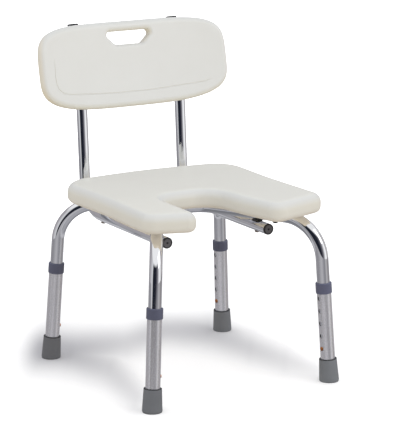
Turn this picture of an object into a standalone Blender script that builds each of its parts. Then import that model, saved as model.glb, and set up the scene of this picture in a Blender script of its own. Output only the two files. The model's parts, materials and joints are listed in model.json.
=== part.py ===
"""Bath seat with a backrest, on a bent-tube frame with four legs that adjust in height.

Metres, +Z up. The chair faces -Y, and the origin is on the floor under the middle of its bounding box.
Left and right are as seen from the front, so the right side is +X.
"""

import math

import bmesh
import bpy
from mathutils import Matrix, Vector

# Clearances
GAP = 0.0003  # between two pieces that touch
BOLT_CLEARANCE = 0.0004  # round a bolt or screw in its hole
CUT_MARGIN = 0.002  # how far a cutter runs past the faces that it opens

# Seat panel. Its outline is given at mid thickness, about the seat's own centre
SEAT_CENTRE_Y = -0.028
SEAT_TOP_Z = 0.3745
SEAT_THICKNESS = 0.0391
SEAT_EDGE_RADIUS = 0.011
SEAT_WALL = 0.0032
SEAT_EDGE_WALL = 0.009
SEAT_REAR_Y = 0.1992
SEAT_REAR_CROWN_RADIUS = 0.7
SEAT_REAR_CORNER = (0.2015, 0.177)
SEAT_REAR_CORNER_RADIUS = 0.066
SEAT_WAIST_HALF_WIDTH = 0.1945
SEAT_WAIST_RADIUS = 0.5
SEAT_FRONT_CORNER = (0.1990, -0.1858)
SEAT_FRONT_CORNER_RADIUS = 0.030
SEAT_FRONT_SLOPE = 0.327
CUTOUT_OFFSET_X = -0.034
CUTOUT_HALF_WIDTH = 0.0625
CUTOUT_REAR_Y = -0.038
CUTOUT_REAR_RADIUS = 0.047
CUTOUT_FLARE = 0.035
CUTOUT_FLARE_Y = -0.125
CUTOUT_FLARE_START = 0.0125
CUTOUT_FLARE_RADIUS = 0.080
LOBE_TIP_RADIUS_LEFT = 0.020
LOBE_TIP_RADIUS_RIGHT = 0.026
VENT_RADIUS = 0.003
VENT_Y = 0.150

# Leg tubes and the two arches that they are bent from
LEG_TUBE_RADIUS = 0.0127
LEG_TUBE_WALL = 0.0012
LEG_BEND_RADIUS = 0.0807
COLLAR_Z = 0.1995
FRONT_LEG = (0.1884, -0.2010)  # on the leg's axis at the collar's top
REAR_LEG = (0.1922, 0.1999)
SPLAY_X = 0.0561  # outward drift for each metre down
SPLAY_Y = 0.0420
FRONT_RUN_HEADING = math.radians(29.2)  # of the run under the seat, from the Y axis to the middle
REAR_RUN_HEADING = math.radians(54.2)
FRONT_APEX_Y = 0.040
FRONT_APEX_RADIUS = 0.060
REAR_APEX_Y = 0.105
REAR_APEX_RADIUS = 0.090
BUTTON_TURN = math.radians(8.0)  # each button faces inward, turned this far to the front

# Telescoping lower legs. Heights along a leg are measured down from the collar's top
LOWER_TUBE_RADIUS = 0.0143
SLIDE_CLEARANCE = 0.0003
HOLE_FIRST = 0.0305
HOLE_PITCH = 0.0254
HOLE_COUNT = 5
UPPER_TUBE_PAST_BUTTON = 0.020
COLLAR_RADIUS = 0.0160
COLLAR_HEIGHT = 0.0210
COLLAR_LIP = 0.0020
COLLAR_EDGE = 0.0012
FOOT_HEIGHT = 0.046
FOOT_TOP_RADIUS = 0.0175
FOOT_BASE_RADIUS = 0.0198
FOOT_EDGE = 0.0025
FOOT_SOLE = 0.008
WASHER_THICKNESS = 0.0015
WASHER_HOLE_RADIUS = 0.006

# Snap buttons and their leaf springs
BUTTON_RADIUS = 0.0040
BUTTON_STANDOUT = 0.0022  # of its tip past the lower tube
BUTTON_DOME = 0.0016
BUTTON_FLANGE_RADIUS = 0.0045
BUTTON_FLANGE_THICKNESS = 0.0006
SPRING_FACE_X = 0.0090  # the leaf's outer face, under the button
SPRING_THICKNESS = 0.0006
SPRING_WIDTH = 0.0070
SPRING_PAD_HALF_LENGTH = 0.0080
SPRING_BOW_HEIGHT = 0.0380
SPRING_BOW_RADIUS = 0.0030

# Back posts
POST_X = 0.1138
POST_RADIUS = 0.0111
POST_WALL = 0.0014
POST_FRONT_Y = -0.118
POST_BEND_RADIUS = 0.070
POST_BELOW_ARCH = 0.0012  # free height between a post and the arches that it crosses
POST_FOOT_LEAN = 0.067  # rearward drift for each metre up, below the kink
POST_KINK = (0.2331, 0.500)  # y and z of the axis where the post leans further back
POST_KINK_RADIUS = 0.150
BACK_LEAN = math.radians(12.24)
POST_TOP_Z = 0.670
PLUG_FLANGE = 0.0028
PLUG_EDGE = 0.0008
PLUG_STEM = 0.012
PLUG_DIMPLE_RADIUS = 0.0016
PLUG_DIMPLE_DEPTH = 0.0010
PIP_HOLE_RADIUS = 0.0023
PIP_BELOW_TOP = 0.0060

# Backrest panel, in its own plane: x across, w up the panel from its centre
PANEL_CENTRE_Z = 0.5754
PANEL_HALF_WIDTH = 0.2142
PANEL_TOP = 0.0946
PANEL_BOTTOM = 0.0800
PANEL_TOP_POWER = 4.5
PANEL_BOTTOM_POWER = 3.6
PANEL_THICKNESS = 0.0255
PANEL_EDGE_RADIUS = 0.0115
PANEL_WALL = 0.0030
PANEL_EDGE_WALL = 0.0090
PANEL_CURVATURE = 0.50  # forward offset at x is this times x squared
PANEL_STRIPS = 10
CHANNEL_DEPTH = 0.0084  # how deep a post sits in the channel behind the panel
SLOT_TOP = 0.0743
SLOT_BOTTOM = 0.0470
SLOT_TOP_HALF_WIDTH = 0.0595
SLOT_BOTTOM_HALF_WIDTH = 0.0300
SLOT_TOP_RADIUS = 0.0060
SLOT_BOTTOM_RADIUS = 0.0110

# Bolts through each crossing of post, arch and seat
BOLT_RADIUS = 0.0030
BOLT_HEAD_RADIUS = 0.0055
BOLT_HEAD_HEIGHT = 0.0035
BOLT_IN_SEAT = 0.0120
INSERT_WALL = 0.0017
INSERT_LENGTH = 0.0140
BOSS_RADIUS = 0.0110

# Saddles: plastic spacers between crossing tubes, and between the arches and the seat
TUBE_SADDLE = (0.0105, 0.0100)  # half width and half length
TUBE_SADDLE_CHEEK = 0.0044
SEAT_SADDLE = (0.0110, 0.0110)
SEAT_SADDLE_WEB = 0.0020
SEAT_SADDLE_DROP = 0.0045
SEAT_SADDLE_BOSS_RADIUS = 0.0165
SEAT_SADDLE_Y = -0.110

# Screws through the posts into the backrest
SCREW_RADIUS = 0.0022
SCREW_HEAD_RADIUS = 0.0042
SCREW_HEAD_HEIGHT = 0.0024
SCREW_IN_PANEL = 0.0110
BACK_COLUMN_RADIUS = 0.0070
LOWER_SCREW_W = -0.0495
UPPER_SCREW_W = 0.0475

# Facets
TUBE_BEVEL_RESOLUTION = 6
BORE_BEVEL_RESOLUTION = 4
BORE_SIDES = 2 * BORE_BEVEL_RESOLUTION + 4
BEND_STEP = math.radians(11.0)
TURNED_STEPS = 20
HOLE_SIDES = 12
OUTLINE_STEP = math.radians(15.0)
SUPERELLIPSE_POINTS = 40
EDGE_BEVEL_RESOLUTION = 2
HOLLOW_BEVEL_RESOLUTION = 0

# Sizes and places that follow from the ones above
SEAT_UNDERSIDE_Z = SEAT_TOP_Z - SEAT_THICKNESS
ARCH_Z = SEAT_UNDERSIDE_Z - GAP - LEG_TUBE_RADIUS
POST_RUN_Z = ARCH_Z - LEG_TUBE_RADIUS - POST_BELOW_ARCH - POST_RADIUS
LEG_BORE_RADIUS = LEG_TUBE_RADIUS - LEG_TUBE_WALL
POST_BORE_RADIUS = POST_RADIUS - POST_WALL
LOWER_BORE_RADIUS = LEG_TUBE_RADIUS + SLIDE_CLEARANCE
BUTTON_DROP = HOLE_FIRST + (HOLE_COUNT - 1) * HOLE_PITCH
BUTTON_TIP_X = LOWER_TUBE_RADIUS + BUTTON_STANDOUT
UPPER_TUBE_END = BUTTON_DROP + UPPER_TUBE_PAST_BUTTON
AXIS_TO_FLOOR = COLLAR_Z * math.sqrt(1 + SPLAY_X**2 + SPLAY_Y**2)
FOOT_BORE_FLOOR = AXIS_TO_FLOOR - FOOT_SOLE
LOWER_TUBE_TOP = COLLAR_LIP + GAP
LOWER_TUBE_END = FOOT_BORE_FLOOR - WASHER_THICKNESS - 2 * GAP
INSERT_BORE_RADIUS = BOLT_RADIUS + BOLT_CLEARANCE
INSERT_RADIUS = INSERT_BORE_RADIUS + INSERT_WALL
SIDES = {"left": -1, "right": 1}
LEGS = {
    "front_left": (-1, -1),
    "front_right": (1, -1),
    "rear_left": (-1, 1),
    "rear_right": (1, 1),
}
PANEL_NORMAL = Vector((0, -math.cos(BACK_LEAN), math.sin(BACK_LEAN)))
PANEL_UP = Vector((0, math.sin(BACK_LEAN), math.cos(BACK_LEAN)))


def clear_scene():
    for obj in list(bpy.data.objects):
        bpy.data.objects.remove(obj)


def new_collection(name):
    collection = bpy.data.collections.new(name)
    bpy.context.scene.collection.children.link(collection)
    return collection


clear_scene()
PARTS = new_collection("bath_seat")
CUTTERS = new_collection("bath_seat_cutters")


# Materials


def linear(channel):
    """One 0 to 255 sRGB channel as scene-linear light."""
    share = channel / 255
    return share / 12.92 if share <= 0.04045 else ((share + 0.055) / 1.055) ** 2.4


def material(name, srgb, roughness, metallic=0.0):
    made = bpy.data.materials.new(name)
    made.use_nodes = True
    shader = made.node_tree.nodes["Principled BSDF"]
    shader.inputs["Base Color"].default_value = [*map(linear, srgb), 1]
    shader.inputs["Roughness"].default_value = roughness
    shader.inputs["Metallic"].default_value = metallic
    return made


MATERIALS = {
    "seat_plastic": material("seat_plastic", (221, 219, 212), 0.45),
    "back_plastic": material("back_plastic", (223, 222, 216), 0.45),
    "chrome": material("chrome", (200, 201, 204), 0.12, 1.0),
    "aluminium": material("aluminium", (176, 176, 182), 0.38, 1.0),
    "collar_plastic": material("collar_plastic", (84, 87, 102), 0.5),
    "foot_rubber": material("foot_rubber", (98, 99, 100), 0.8),
    "copper": material("copper", (190, 128, 84), 0.3, 1.0),
    "spring_steel": material("spring_steel", (150, 150, 152), 0.35, 1.0),
    "bolt_steel": material("bolt_steel", (122, 100, 84), 0.4, 1.0),
    "black_plastic": material("black_plastic", (38, 38, 42), 0.5),
}


# Paths and outlines


def rounded(corners, radii, step, closed=False):
    """The corner points with each corner turned into an arc of its radius. Radius 0 keeps it sharp."""
    points = []
    count = len(corners)
    for i, corner in enumerate(corners):
        if not closed and i in (0, count - 1):
            points.append(corner.copy())
            continue
        back = (corners[i - 1] - corner).normalized()
        ahead = (corners[(i + 1) % count] - corner).normalized()
        turn = math.pi - back.angle(ahead)
        radius = radii[i]
        if radius == 0 or turn < 1e-6:
            points.append(corner.copy())
            continue
        start = corner + back * radius * math.tan(turn / 2)
        inward = (back + ahead).normalized()
        centre = corner + inward * radius / math.cos(turn / 2)
        arm = (start - centre) / radius
        steps = max(2, math.ceil(turn / step))
        for k in range(steps + 1):
            angle = turn * k / steps
            points.append(centre + (arm * math.cos(angle) - back * math.sin(angle)) * radius)
    return points


def inset(points, distance):
    """A closed outline that runs clockwise seen from +Z, moved inward by the distance."""
    moved = []
    for i, point in enumerate(points):
        along = (points[(i + 1) % len(points)] - points[i - 1]).normalized()
        moved.append(point + Vector((along.y, -along.x, 0)) * distance)
    return moved


def seat_outline():
    """The seat's edge at mid thickness, clockwise from the middle of the rear."""
    rear_x, rear_y = SEAT_REAR_CORNER
    front_x, front_y = SEAT_FRONT_CORNER
    wall_left = CUTOUT_OFFSET_X - CUTOUT_HALF_WIDTH
    wall_right = CUTOUT_OFFSET_X + CUTOUT_HALF_WIDTH
    bend_right = wall_right + CUTOUT_FLARE_START
    tip_right = wall_right + CUTOUT_FLARE
    corners = [
        (0, SEAT_REAR_Y, SEAT_REAR_CROWN_RADIUS),
        (rear_x, rear_y, SEAT_REAR_CORNER_RADIUS),
        (SEAT_WAIST_HALF_WIDTH, 0, SEAT_WAIST_RADIUS),
        (front_x, front_y, SEAT_FRONT_CORNER_RADIUS),
        (tip_right, front_y - SEAT_FRONT_SLOPE * (front_x - tip_right), LOBE_TIP_RADIUS_RIGHT),
        (bend_right, CUTOUT_FLARE_Y, CUTOUT_FLARE_RADIUS),
        (wall_right, CUTOUT_REAR_Y, CUTOUT_REAR_RADIUS),
        (wall_left, CUTOUT_REAR_Y, CUTOUT_REAR_RADIUS),
        (wall_left, front_y - SEAT_FRONT_SLOPE * (front_x + wall_left), LOBE_TIP_RADIUS_LEFT),
        (-front_x, front_y, SEAT_FRONT_CORNER_RADIUS),
        (-SEAT_WAIST_HALF_WIDTH, 0, SEAT_WAIST_RADIUS),
        (-rear_x, rear_y, SEAT_REAR_CORNER_RADIUS),
    ]
    points = [Vector((x, y, 0)) for x, y, _ in corners]
    return rounded(points, [radius for _, _, radius in corners], OUTLINE_STEP, closed=True)


def panel_outline():
    """The backrest's edge, clockwise: two half superellipses that share one width."""
    points = []
    for k in range(SUPERELLIPSE_POINTS):
        angle = math.pi / 2 - 2 * math.pi * k / SUPERELLIPSE_POINTS
        across, up = math.cos(angle), math.sin(angle)
        power = PANEL_TOP_POWER if up > 0 else PANEL_BOTTOM_POWER
        height = PANEL_TOP if up > 0 else PANEL_BOTTOM
        x = math.copysign(abs(across) ** (2 / power), across) * PANEL_HALF_WIDTH
        y = math.copysign(abs(up) ** (2 / power), up) * height
        points.append(Vector((x, y, 0)))
    return points


def slot_outline():
    """The hand slot's edge, clockwise: a trapezium with round corners."""
    corners = [
        Vector((-SLOT_TOP_HALF_WIDTH, SLOT_TOP, 0)),
        Vector((SLOT_TOP_HALF_WIDTH, SLOT_TOP, 0)),
        Vector((SLOT_BOTTOM_HALF_WIDTH, SLOT_BOTTOM, 0)),
        Vector((-SLOT_BOTTOM_HALF_WIDTH, SLOT_BOTTOM, 0)),
    ]
    radii = [SLOT_TOP_RADIUS, SLOT_TOP_RADIUS, SLOT_BOTTOM_RADIUS, SLOT_BOTTOM_RADIUS]
    return rounded(corners, radii, 2 * OUTLINE_STEP, closed=True)


def leg_top(side, end):
    x, y = FRONT_LEG if end < 0 else REAR_LEG
    return Vector((side * x, y, COLLAR_Z))


def leg_down(side, end):
    return Vector((side * SPLAY_X, end * SPLAY_Y, -1)).normalized()


def leg_matrix(side, end):
    """Origin at the collar's top on the leg's axis, +Z up the leg and +X out of the button."""
    up = -leg_down(side, end)
    facing = Vector((-side * math.cos(BUTTON_TURN), -math.sin(BUTTON_TURN), 0))
    out = (facing - up * facing.dot(up)).normalized()
    turn = Matrix((out, up.cross(out), up)).transposed().to_4x4()
    return Matrix.Translation(leg_top(side, end)) @ turn


def arch_corner(side, end):
    """Where a leg's axis would meet its run under the seat."""
    down = leg_down(side, end)
    return leg_top(side, end) + down * (ARCH_Z - COLLAR_Z) / down.z


def run_direction(side, end):
    heading = FRONT_RUN_HEADING if end < 0 else REAR_RUN_HEADING
    return Vector((-side * math.sin(heading), -end * math.cos(heading), 0))


def on_run(side, end, x=None, y=None):
    """The point of a run's axis at this x or this y."""
    start, along = arch_corner(side, end), run_direction(side, end)
    reach = (x - start.x) / along.x if y is None else (y - start.y) / along.y
    return start + along * reach


def arch_path(end, extra=0.0):
    """One tube from the left upper leg to the right one, each end run on by extra."""
    apex_y = FRONT_APEX_Y if end < 0 else REAR_APEX_Y
    apex_radius = FRONT_APEX_RADIUS if end < 0 else REAR_APEX_RADIUS
    reach = UPPER_TUBE_END + extra
    corners = [
        leg_top(-1, end) + leg_down(-1, end) * reach,
        arch_corner(-1, end),
        on_run(-1, end, y=apex_y),
        on_run(1, end, y=apex_y),
        arch_corner(1, end),
        leg_top(1, end) + leg_down(1, end) * reach,
    ]
    radii = [0, LEG_BEND_RADIUS, apex_radius, apex_radius, LEG_BEND_RADIUS, 0]
    return rounded(corners, radii, BEND_STEP)


def post_axis(z):
    """y of a back post's straight upper part at this height."""
    kink_y, kink_z = POST_KINK
    return kink_y + (z - kink_z) * math.tan(BACK_LEAN)


def post_path(side, front_y, top_z):
    kink_y, kink_z = POST_KINK
    foot_y = kink_y - (kink_z - POST_RUN_Z) * POST_FOOT_LEAN
    x = side * POST_X
    corners = [
        Vector((x, front_y, POST_RUN_Z)),
        Vector((x, foot_y, POST_RUN_Z)),
        Vector((x, kink_y, kink_z)),
        Vector((x, post_axis(top_z), top_z)),
    ]
    return rounded(corners, [0, POST_BEND_RADIUS, POST_KINK_RADIUS, 0], BEND_STEP)


def panel_centre():
    """The middle of the backrest at mid thickness. The posts set how far back it sits."""
    ahead = POST_RADIUS + GAP + PANEL_THICKNESS / 2 - CHANNEL_DEPTH - PANEL_CURVATURE * POST_X**2
    axis = Vector((0, post_axis(PANEL_CENTRE_Z), PANEL_CENTRE_Z))
    return axis + PANEL_NORMAL * ahead


def post_point(side, w):
    """The point of a post's axis that lies behind height w of the panel."""
    axis = Vector((side * POST_X, post_axis(PANEL_CENTRE_Z), PANEL_CENTRE_Z))
    return axis + PANEL_UP * w


# Building solids


def finish(obj, name, slot, parent):
    """Names a solid, and gives it its material and its parent."""
    obj.name = name
    obj.data.name = name
    obj.data.materials.clear()
    obj.data.materials.append(MATERIALS[slot])
    obj.parent = parent
    return obj


def as_cutter(obj):
    obj.hide_render = True
    obj.display_type = "WIRE"
    for collection in list(obj.users_collection):
        collection.objects.unlink(obj)
    CUTTERS.objects.link(obj)
    return obj


def mesh_object(name, bm, smooth=True):
    bmesh.ops.recalc_face_normals(bm, faces=bm.faces)
    mesh = bpy.data.meshes.new(name)
    bm.to_mesh(mesh)
    bm.free()
    if smooth:
        mesh.shade_smooth()
        mesh.set_sharp_from_angle(angle=math.radians(35))
    obj = bpy.data.objects.new(name, mesh)
    PARTS.objects.link(obj)
    return obj


def curve_object(name, places, dimensions, closed):
    curve = bpy.data.curves.new(name, "CURVE")
    curve.dimensions = dimensions
    spline = curve.splines.new("POLY")
    spline.points.add(len(places) - 1)
    for point, place in zip(spline.points, places):
        point.co = (*place, 1)
    spline.use_cyclic_u = closed
    obj = bpy.data.objects.new(name, curve)
    PARTS.objects.link(obj)
    return obj


def welded_mesh(curve_obj):
    """The curve's evaluated mesh as a new object, with its caps joined on."""
    bpy.context.view_layer.update()
    evaluated = curve_obj.evaluated_get(bpy.context.evaluated_depsgraph_get())
    mesh = bpy.data.meshes.new_from_object(evaluated)
    bm = bmesh.new()
    bm.from_mesh(mesh)
    bmesh.ops.remove_doubles(bm, verts=bm.verts, dist=1e-6)
    obj = mesh_object(curve_obj.name, bm)
    obj.matrix_world = curve_obj.matrix_world
    bpy.data.meshes.remove(mesh)
    bpy.data.objects.remove(curve_obj)
    return obj


def tube(name, path, radius, resolution):
    obj = curve_object(name, path, "3D", closed=False)
    obj.data.bevel_depth = radius
    obj.data.bevel_resolution = resolution
    obj.data.use_fill_caps = True
    return welded_mesh(obj)


def slab(name, outline, half_thickness, edge_radius, resolution):
    """A flat panel about z = 0 whose edge swells past the outline by edge_radius."""
    obj = curve_object(name, outline, "2D", closed=True)
    obj.data.fill_mode = "BOTH"
    obj.data.extrude = half_thickness - edge_radius
    obj.data.bevel_depth = edge_radius
    obj.data.bevel_resolution = resolution
    return welded_mesh(obj)


def turned(name, profile, steps=TURNED_STEPS):
    """A solid turned about Z. The profile is (radius, z) from the top down the outer side.

    A profile that starts on the axis also ends there. Any other is closed into a ring.
    """
    bm = bmesh.new()
    verts = [bm.verts.new((radius, 0, z)) for radius, z in profile]
    ring = verts[:1] if profile[0][0] > 0 else []
    for a, b in zip(verts, verts[1:] + ring):
        bm.edges.new((a, b))
    mesh = bpy.data.meshes.new(name)
    bm.to_mesh(mesh)
    bm.free()
    obj = bpy.data.objects.new(name, mesh)
    PARTS.objects.link(obj)
    screw = obj.modifiers.new("turn", "SCREW")
    screw.steps = screw.render_steps = steps
    screw.use_merge_vertices = True
    screw.merge_threshold = 0.00001
    screw.use_smooth_shade = True
    return obj


def rod(name, start, end, radius, sides=HOLE_SIDES):
    """A plain cylinder between two points."""
    axis = end - start
    bm = bmesh.new()
    bmesh.ops.create_cone(
        bm, cap_ends=True, segments=sides, radius1=radius, radius2=radius, depth=axis.length
    )
    turn = axis.to_track_quat("Z", "Y").to_matrix().to_4x4()
    bm.transform(Matrix.Translation((start + end) / 2) @ turn)
    return mesh_object(name, bm)


def block(name, low, high):
    size = high - low
    bm = bmesh.new()
    bmesh.ops.create_cube(bm, size=1)
    bm.transform(Matrix.Translation((low + high) / 2) @ Matrix.Diagonal((*size, 1)))
    return mesh_object(name, bm, smooth=False)


def joined(name, pieces):
    """Several separate solids as one object."""
    bm = bmesh.new()
    for piece in pieces:
        bm.from_mesh(piece.data)
        bpy.data.objects.remove(piece)
    return mesh_object(name, bm)


def modify(obj, operation, other, parent=None):
    """A Boolean with a helper object, which moves to the cutters."""
    boolean = obj.modifiers.new(operation.lower(), "BOOLEAN")
    boolean.operation = operation
    boolean.solver = "EXACT"
    boolean.object = as_cutter(other)
    if parent is not None:
        other.parent = parent
    return obj


def bend_forward(obj):
    """Cuts the flat panel into strips across x, and bows it towards the sitter."""
    bm = bmesh.new()
    bm.from_mesh(obj.data)
    for k in range(1, PANEL_STRIPS):
        x = PANEL_HALF_WIDTH * (2 * k / PANEL_STRIPS - 1)
        geometry = bm.verts[:] + bm.edges[:] + bm.faces[:]
        bmesh.ops.bisect_plane(
            bm, geom=geometry, dist=1e-6, plane_co=(x, 0, 0), plane_no=(1, 0, 0)
        )
    for vert in bm.verts:
        vert.co.z += PANEL_CURVATURE * vert.co.x**2
    bmesh.ops.recalc_face_normals(bm, faces=bm.faces)
    bm.to_mesh(obj.data)
    bm.free()
    return obj


# Where the fasteners go


def crossings():
    """Where a post passes under an arch, at the arch's axis, by the leg's name."""
    return {label: on_run(side, end, x=side * POST_X) for label, (side, end) in LEGS.items()}


def saddle_points():
    """Where the front arch carries the seat on a saddle of its own, by side."""
    return {label: on_run(side, -1, y=SEAT_SADDLE_Y) for label, side in SIDES.items()}


def insert_points():
    return crossings() | {f"saddle_{label}": point for label, point in saddle_points().items()}


def at_height(point, z):
    return Vector((point.x, point.y, z))


def holes_up(name, points, low_z, high_z, radius):
    """Upright round cutters as one object."""
    rods = [
        rod(f"{name}_{i}", at_height(point, low_z), at_height(point, high_z), radius)
        for i, point in enumerate(points)
    ]
    return joined(name, rods)


# The seat


def build_seat(parent):
    outline = inset(seat_outline(), SEAT_EDGE_RADIUS)
    middle = Vector((0, 0, SEAT_TOP_Z - SEAT_THICKNESS / 2))
    half = SEAT_THICKNESS / 2
    seat = slab("seat_panel", outline, half, SEAT_EDGE_RADIUS, EDGE_BEVEL_RESOLUTION)
    seat.location = middle
    finish(seat, "seat_panel", "seat_plastic", parent)

    # The moulding is hollow, with a solid column round each insert
    swell = SEAT_EDGE_RADIUS - SEAT_EDGE_WALL
    hollow = slab("seat_hollow", outline, half - SEAT_WALL, swell, HOLLOW_BEVEL_RESOLUTION)
    hollow.location = middle
    low, high = SEAT_UNDERSIDE_Z - CUT_MARGIN, SEAT_TOP_Z + CUT_MARGIN
    columns = holes_up("seat_columns", crossings().values(), low, high, BOSS_RADIUS)
    modify(hollow, "DIFFERENCE", columns, parent)
    saddles = saddle_points().values()
    wide = holes_up("saddle_columns", saddles, low, high, SEAT_SADDLE_BOSS_RADIUS)
    modify(hollow, "DIFFERENCE", wide, parent)
    modify(seat, "DIFFERENCE", hollow, parent)

    vent = Vector((0, VENT_Y, 0))
    modify(seat, "DIFFERENCE", holes_up("seat_vent", [vent], low, middle.z, VENT_RADIUS), parent)
    pockets = [
        saddle_block(f"pocket_{i}", point, SEAT_SADDLE, low, saddle_top() + GAP, GAP)
        for i, point in enumerate(saddles)
    ]
    modify(seat, "DIFFERENCE", joined("saddle_pockets", pockets), parent)
    roof = insert_foot() + INSERT_LENGTH + GAP
    holes = holes_up("insert_holes", insert_points().values(), low, roof, INSERT_RADIUS + GAP)
    modify(seat, "DIFFERENCE", holes, parent)


def saddle_top():
    return SEAT_UNDERSIDE_Z + SEAT_SADDLE_WEB


def insert_foot():
    """The height at which every threaded insert starts, just above the saddles' pockets."""
    return saddle_top() + GAP


def build_inserts(parent):
    """Threaded rings in the seat's underside, which the bolts reach up into."""
    for label, point in insert_points().items():
        name = f"seat_insert_{label}"
        profile = [
            (INSERT_BORE_RADIUS, INSERT_LENGTH),
            (INSERT_RADIUS, INSERT_LENGTH),
            (INSERT_RADIUS, 0),
            (INSERT_BORE_RADIUS, 0),
        ]
        ring = turned(name, profile, HOLE_SIDES)
        ring.location = at_height(point, insert_foot())
        finish(ring, name, "copper", parent)


# The frame


def hollow_tube(name, path, bore_path, radius, wall, parent):
    obj = tube(name, path, radius, TUBE_BEVEL_RESOLUTION)
    finish(obj, name, "chrome", parent)
    bore = tube(f"{name}_bore", bore_path, radius - wall, BORE_BEVEL_RESOLUTION)
    return modify(obj, "DIFFERENCE", bore, parent)


def build_arches(parent):
    for label, end in (("front", -1), ("rear", 1)):
        name = f"{label}_leg_arch"
        arch = hollow_tube(
            name, arch_path(end), arch_path(end, CUT_MARGIN), LEG_TUBE_RADIUS, LEG_TUBE_WALL, parent
        )
        bolts = [on_run(side, end, x=side * POST_X) for side in SIDES.values()]
        saddles = list(saddle_points().values()) if end < 0 else []
        low, high = ARCH_Z - 2 * LEG_TUBE_RADIUS, ARCH_Z + 2 * LEG_TUBE_RADIUS
        holes = holes_up(f"{name}_holes", bolts + saddles, low, high, BOLT_RADIUS + BOLT_CLEARANCE)
        modify(arch, "DIFFERENCE", holes, parent)
        button_holes = []
        for side in SIDES.values():
            start = Vector((0, 0, -BUTTON_DROP))
            hole = rod("hole", start, start + Vector((2 * LEG_TUBE_RADIUS, 0, 0)), button_hole())
            hole.data.transform(leg_matrix(side, end))
            button_holes.append(hole)
        modify(arch, "DIFFERENCE", joined(f"{name}_button_holes", button_holes), parent)


def button_hole():
    return BUTTON_RADIUS + GAP


def build_posts(parent):
    for label, side in SIDES.items():
        name = f"back_post_{label}"
        tube_front = POST_FRONT_Y + PLUG_FLANGE + GAP
        tube_top = POST_TOP_Z - (PLUG_FLANGE + GAP) * math.cos(BACK_LEAN)
        path = post_path(side, tube_front, tube_top)
        bore_path = post_path(side, tube_front - CUT_MARGIN, tube_top + CUT_MARGIN)
        post = hollow_tube(name, path, bore_path, POST_RADIUS, POST_WALL, parent)
        bolts = [on_run(side, end, x=side * POST_X) for end in (-1, 1)]
        low, high = POST_RUN_Z - 2 * POST_RADIUS, POST_RUN_Z + 2 * POST_RADIUS
        holes = holes_up(f"{name}_holes", bolts, low, high, BOLT_RADIUS + BOLT_CLEARANCE)
        modify(post, "DIFFERENCE", holes, parent)
        across = PANEL_NORMAL * 2 * POST_RADIUS
        screws = [
            rod("hole", post_point(side, w) - across, post_point(side, w) + across,
                SCREW_RADIUS + BOLT_CLEARANCE)
            for w in (LOWER_SCREW_W, UPPER_SCREW_W)
        ]
        pip = path[-1] - PANEL_UP * PIP_BELOW_TOP
        screws.append(rod("hole", pip, pip + across, PIP_HOLE_RADIUS))
        modify(post, "DIFFERENCE", joined(f"{name}_screw_holes", screws), parent)

        front_face = Vector((side * POST_X, POST_FRONT_Y, POST_RUN_Z))
        build_plug(f"post_front_plug_{label}", front_face, Vector((0, -1, 0)), parent)
        top_face = Vector((side * POST_X, post_axis(POST_TOP_Z), POST_TOP_Z))
        build_plug(f"post_top_plug_{label}", top_face, PANEL_UP, parent)


def build_plug(name, face, outward, parent):
    """A round plug: a flange flush with the tube, a stem in its bore and a dimple in its face."""
    stem = POST_BORE_RADIUS * math.cos(math.pi / BORE_SIDES) - GAP
    profile = [
        (0, -PLUG_DIMPLE_DEPTH),
        (PLUG_DIMPLE_RADIUS, -PLUG_DIMPLE_DEPTH),
        (PLUG_DIMPLE_RADIUS, 0),
        (POST_RADIUS - PLUG_EDGE, 0),
        (POST_RADIUS, -PLUG_EDGE),
        (POST_RADIUS, -PLUG_FLANGE),
        (stem, -PLUG_FLANGE),
        (stem, -PLUG_FLANGE - PLUG_STEM),
        (0, -PLUG_FLANGE - PLUG_STEM),
    ]
    plug = turned(name, profile)
    plug.matrix_local = Matrix.Translation(face) @ outward.to_track_quat("Z", "Y").to_matrix().to_4x4()
    finish(plug, name, "black_plastic", parent)


def saddle_block(name, point, half_sizes, low_z, high_z, grow=0.0):
    """A block about an upright line, as wide and long as a saddle."""
    reach = Vector((half_sizes[0] + grow, half_sizes[1] + grow, 0))
    return block(name, at_height(point, low_z) - reach, at_height(point, high_z) + reach)


def build_saddles(parent):
    """Plastic spacers, each hollowed to the tubes that it lies between."""
    middle = ARCH_Z - LEG_TUBE_RADIUS - POST_BELOW_ARCH / 2
    for label, point in crossings().items():
        side, end = LEGS[label]
        name = f"tube_saddle_{label}"
        low, high = middle - TUBE_SADDLE_CHEEK, middle + TUBE_SADDLE_CHEEK
        saddle = finish(saddle_block(name, point, TUBE_SADDLE, low, high), name, "black_plastic", parent)
        post = tube(
            f"{name}_post", post_path(side, POST_FRONT_Y, POST_TOP_Z), POST_RADIUS + GAP,
            TUBE_BEVEL_RESOLUTION,
        )
        modify(saddle, "DIFFERENCE", post, parent)
        cut_for_arch(saddle, end, parent)
        cut_for_bolt(saddle, point, parent)

    for label, point in saddle_points().items():
        name = f"seat_saddle_{label}"
        low = SEAT_UNDERSIDE_Z - SEAT_SADDLE_DROP
        saddle = saddle_block(name, point, SEAT_SADDLE, low, saddle_top())
        finish(saddle, name, "black_plastic", parent)
        cut_for_arch(saddle, -1, parent)
        cut_for_bolt(saddle, point, parent)


def cut_for_arch(saddle, end, parent):
    arch = tube(f"{saddle.name}_arch", arch_path(end), LEG_TUBE_RADIUS + GAP, TUBE_BEVEL_RESOLUTION)
    modify(saddle, "DIFFERENCE", arch, parent)


def cut_for_bolt(saddle, point, parent):
    low, high = POST_RUN_Z, SEAT_TOP_Z
    hole = rod(
        f"{saddle.name}_hole", at_height(point, low), at_height(point, high),
        BOLT_RADIUS + BOLT_CLEARANCE,
    )
    modify(saddle, "DIFFERENCE", hole, parent)


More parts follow.
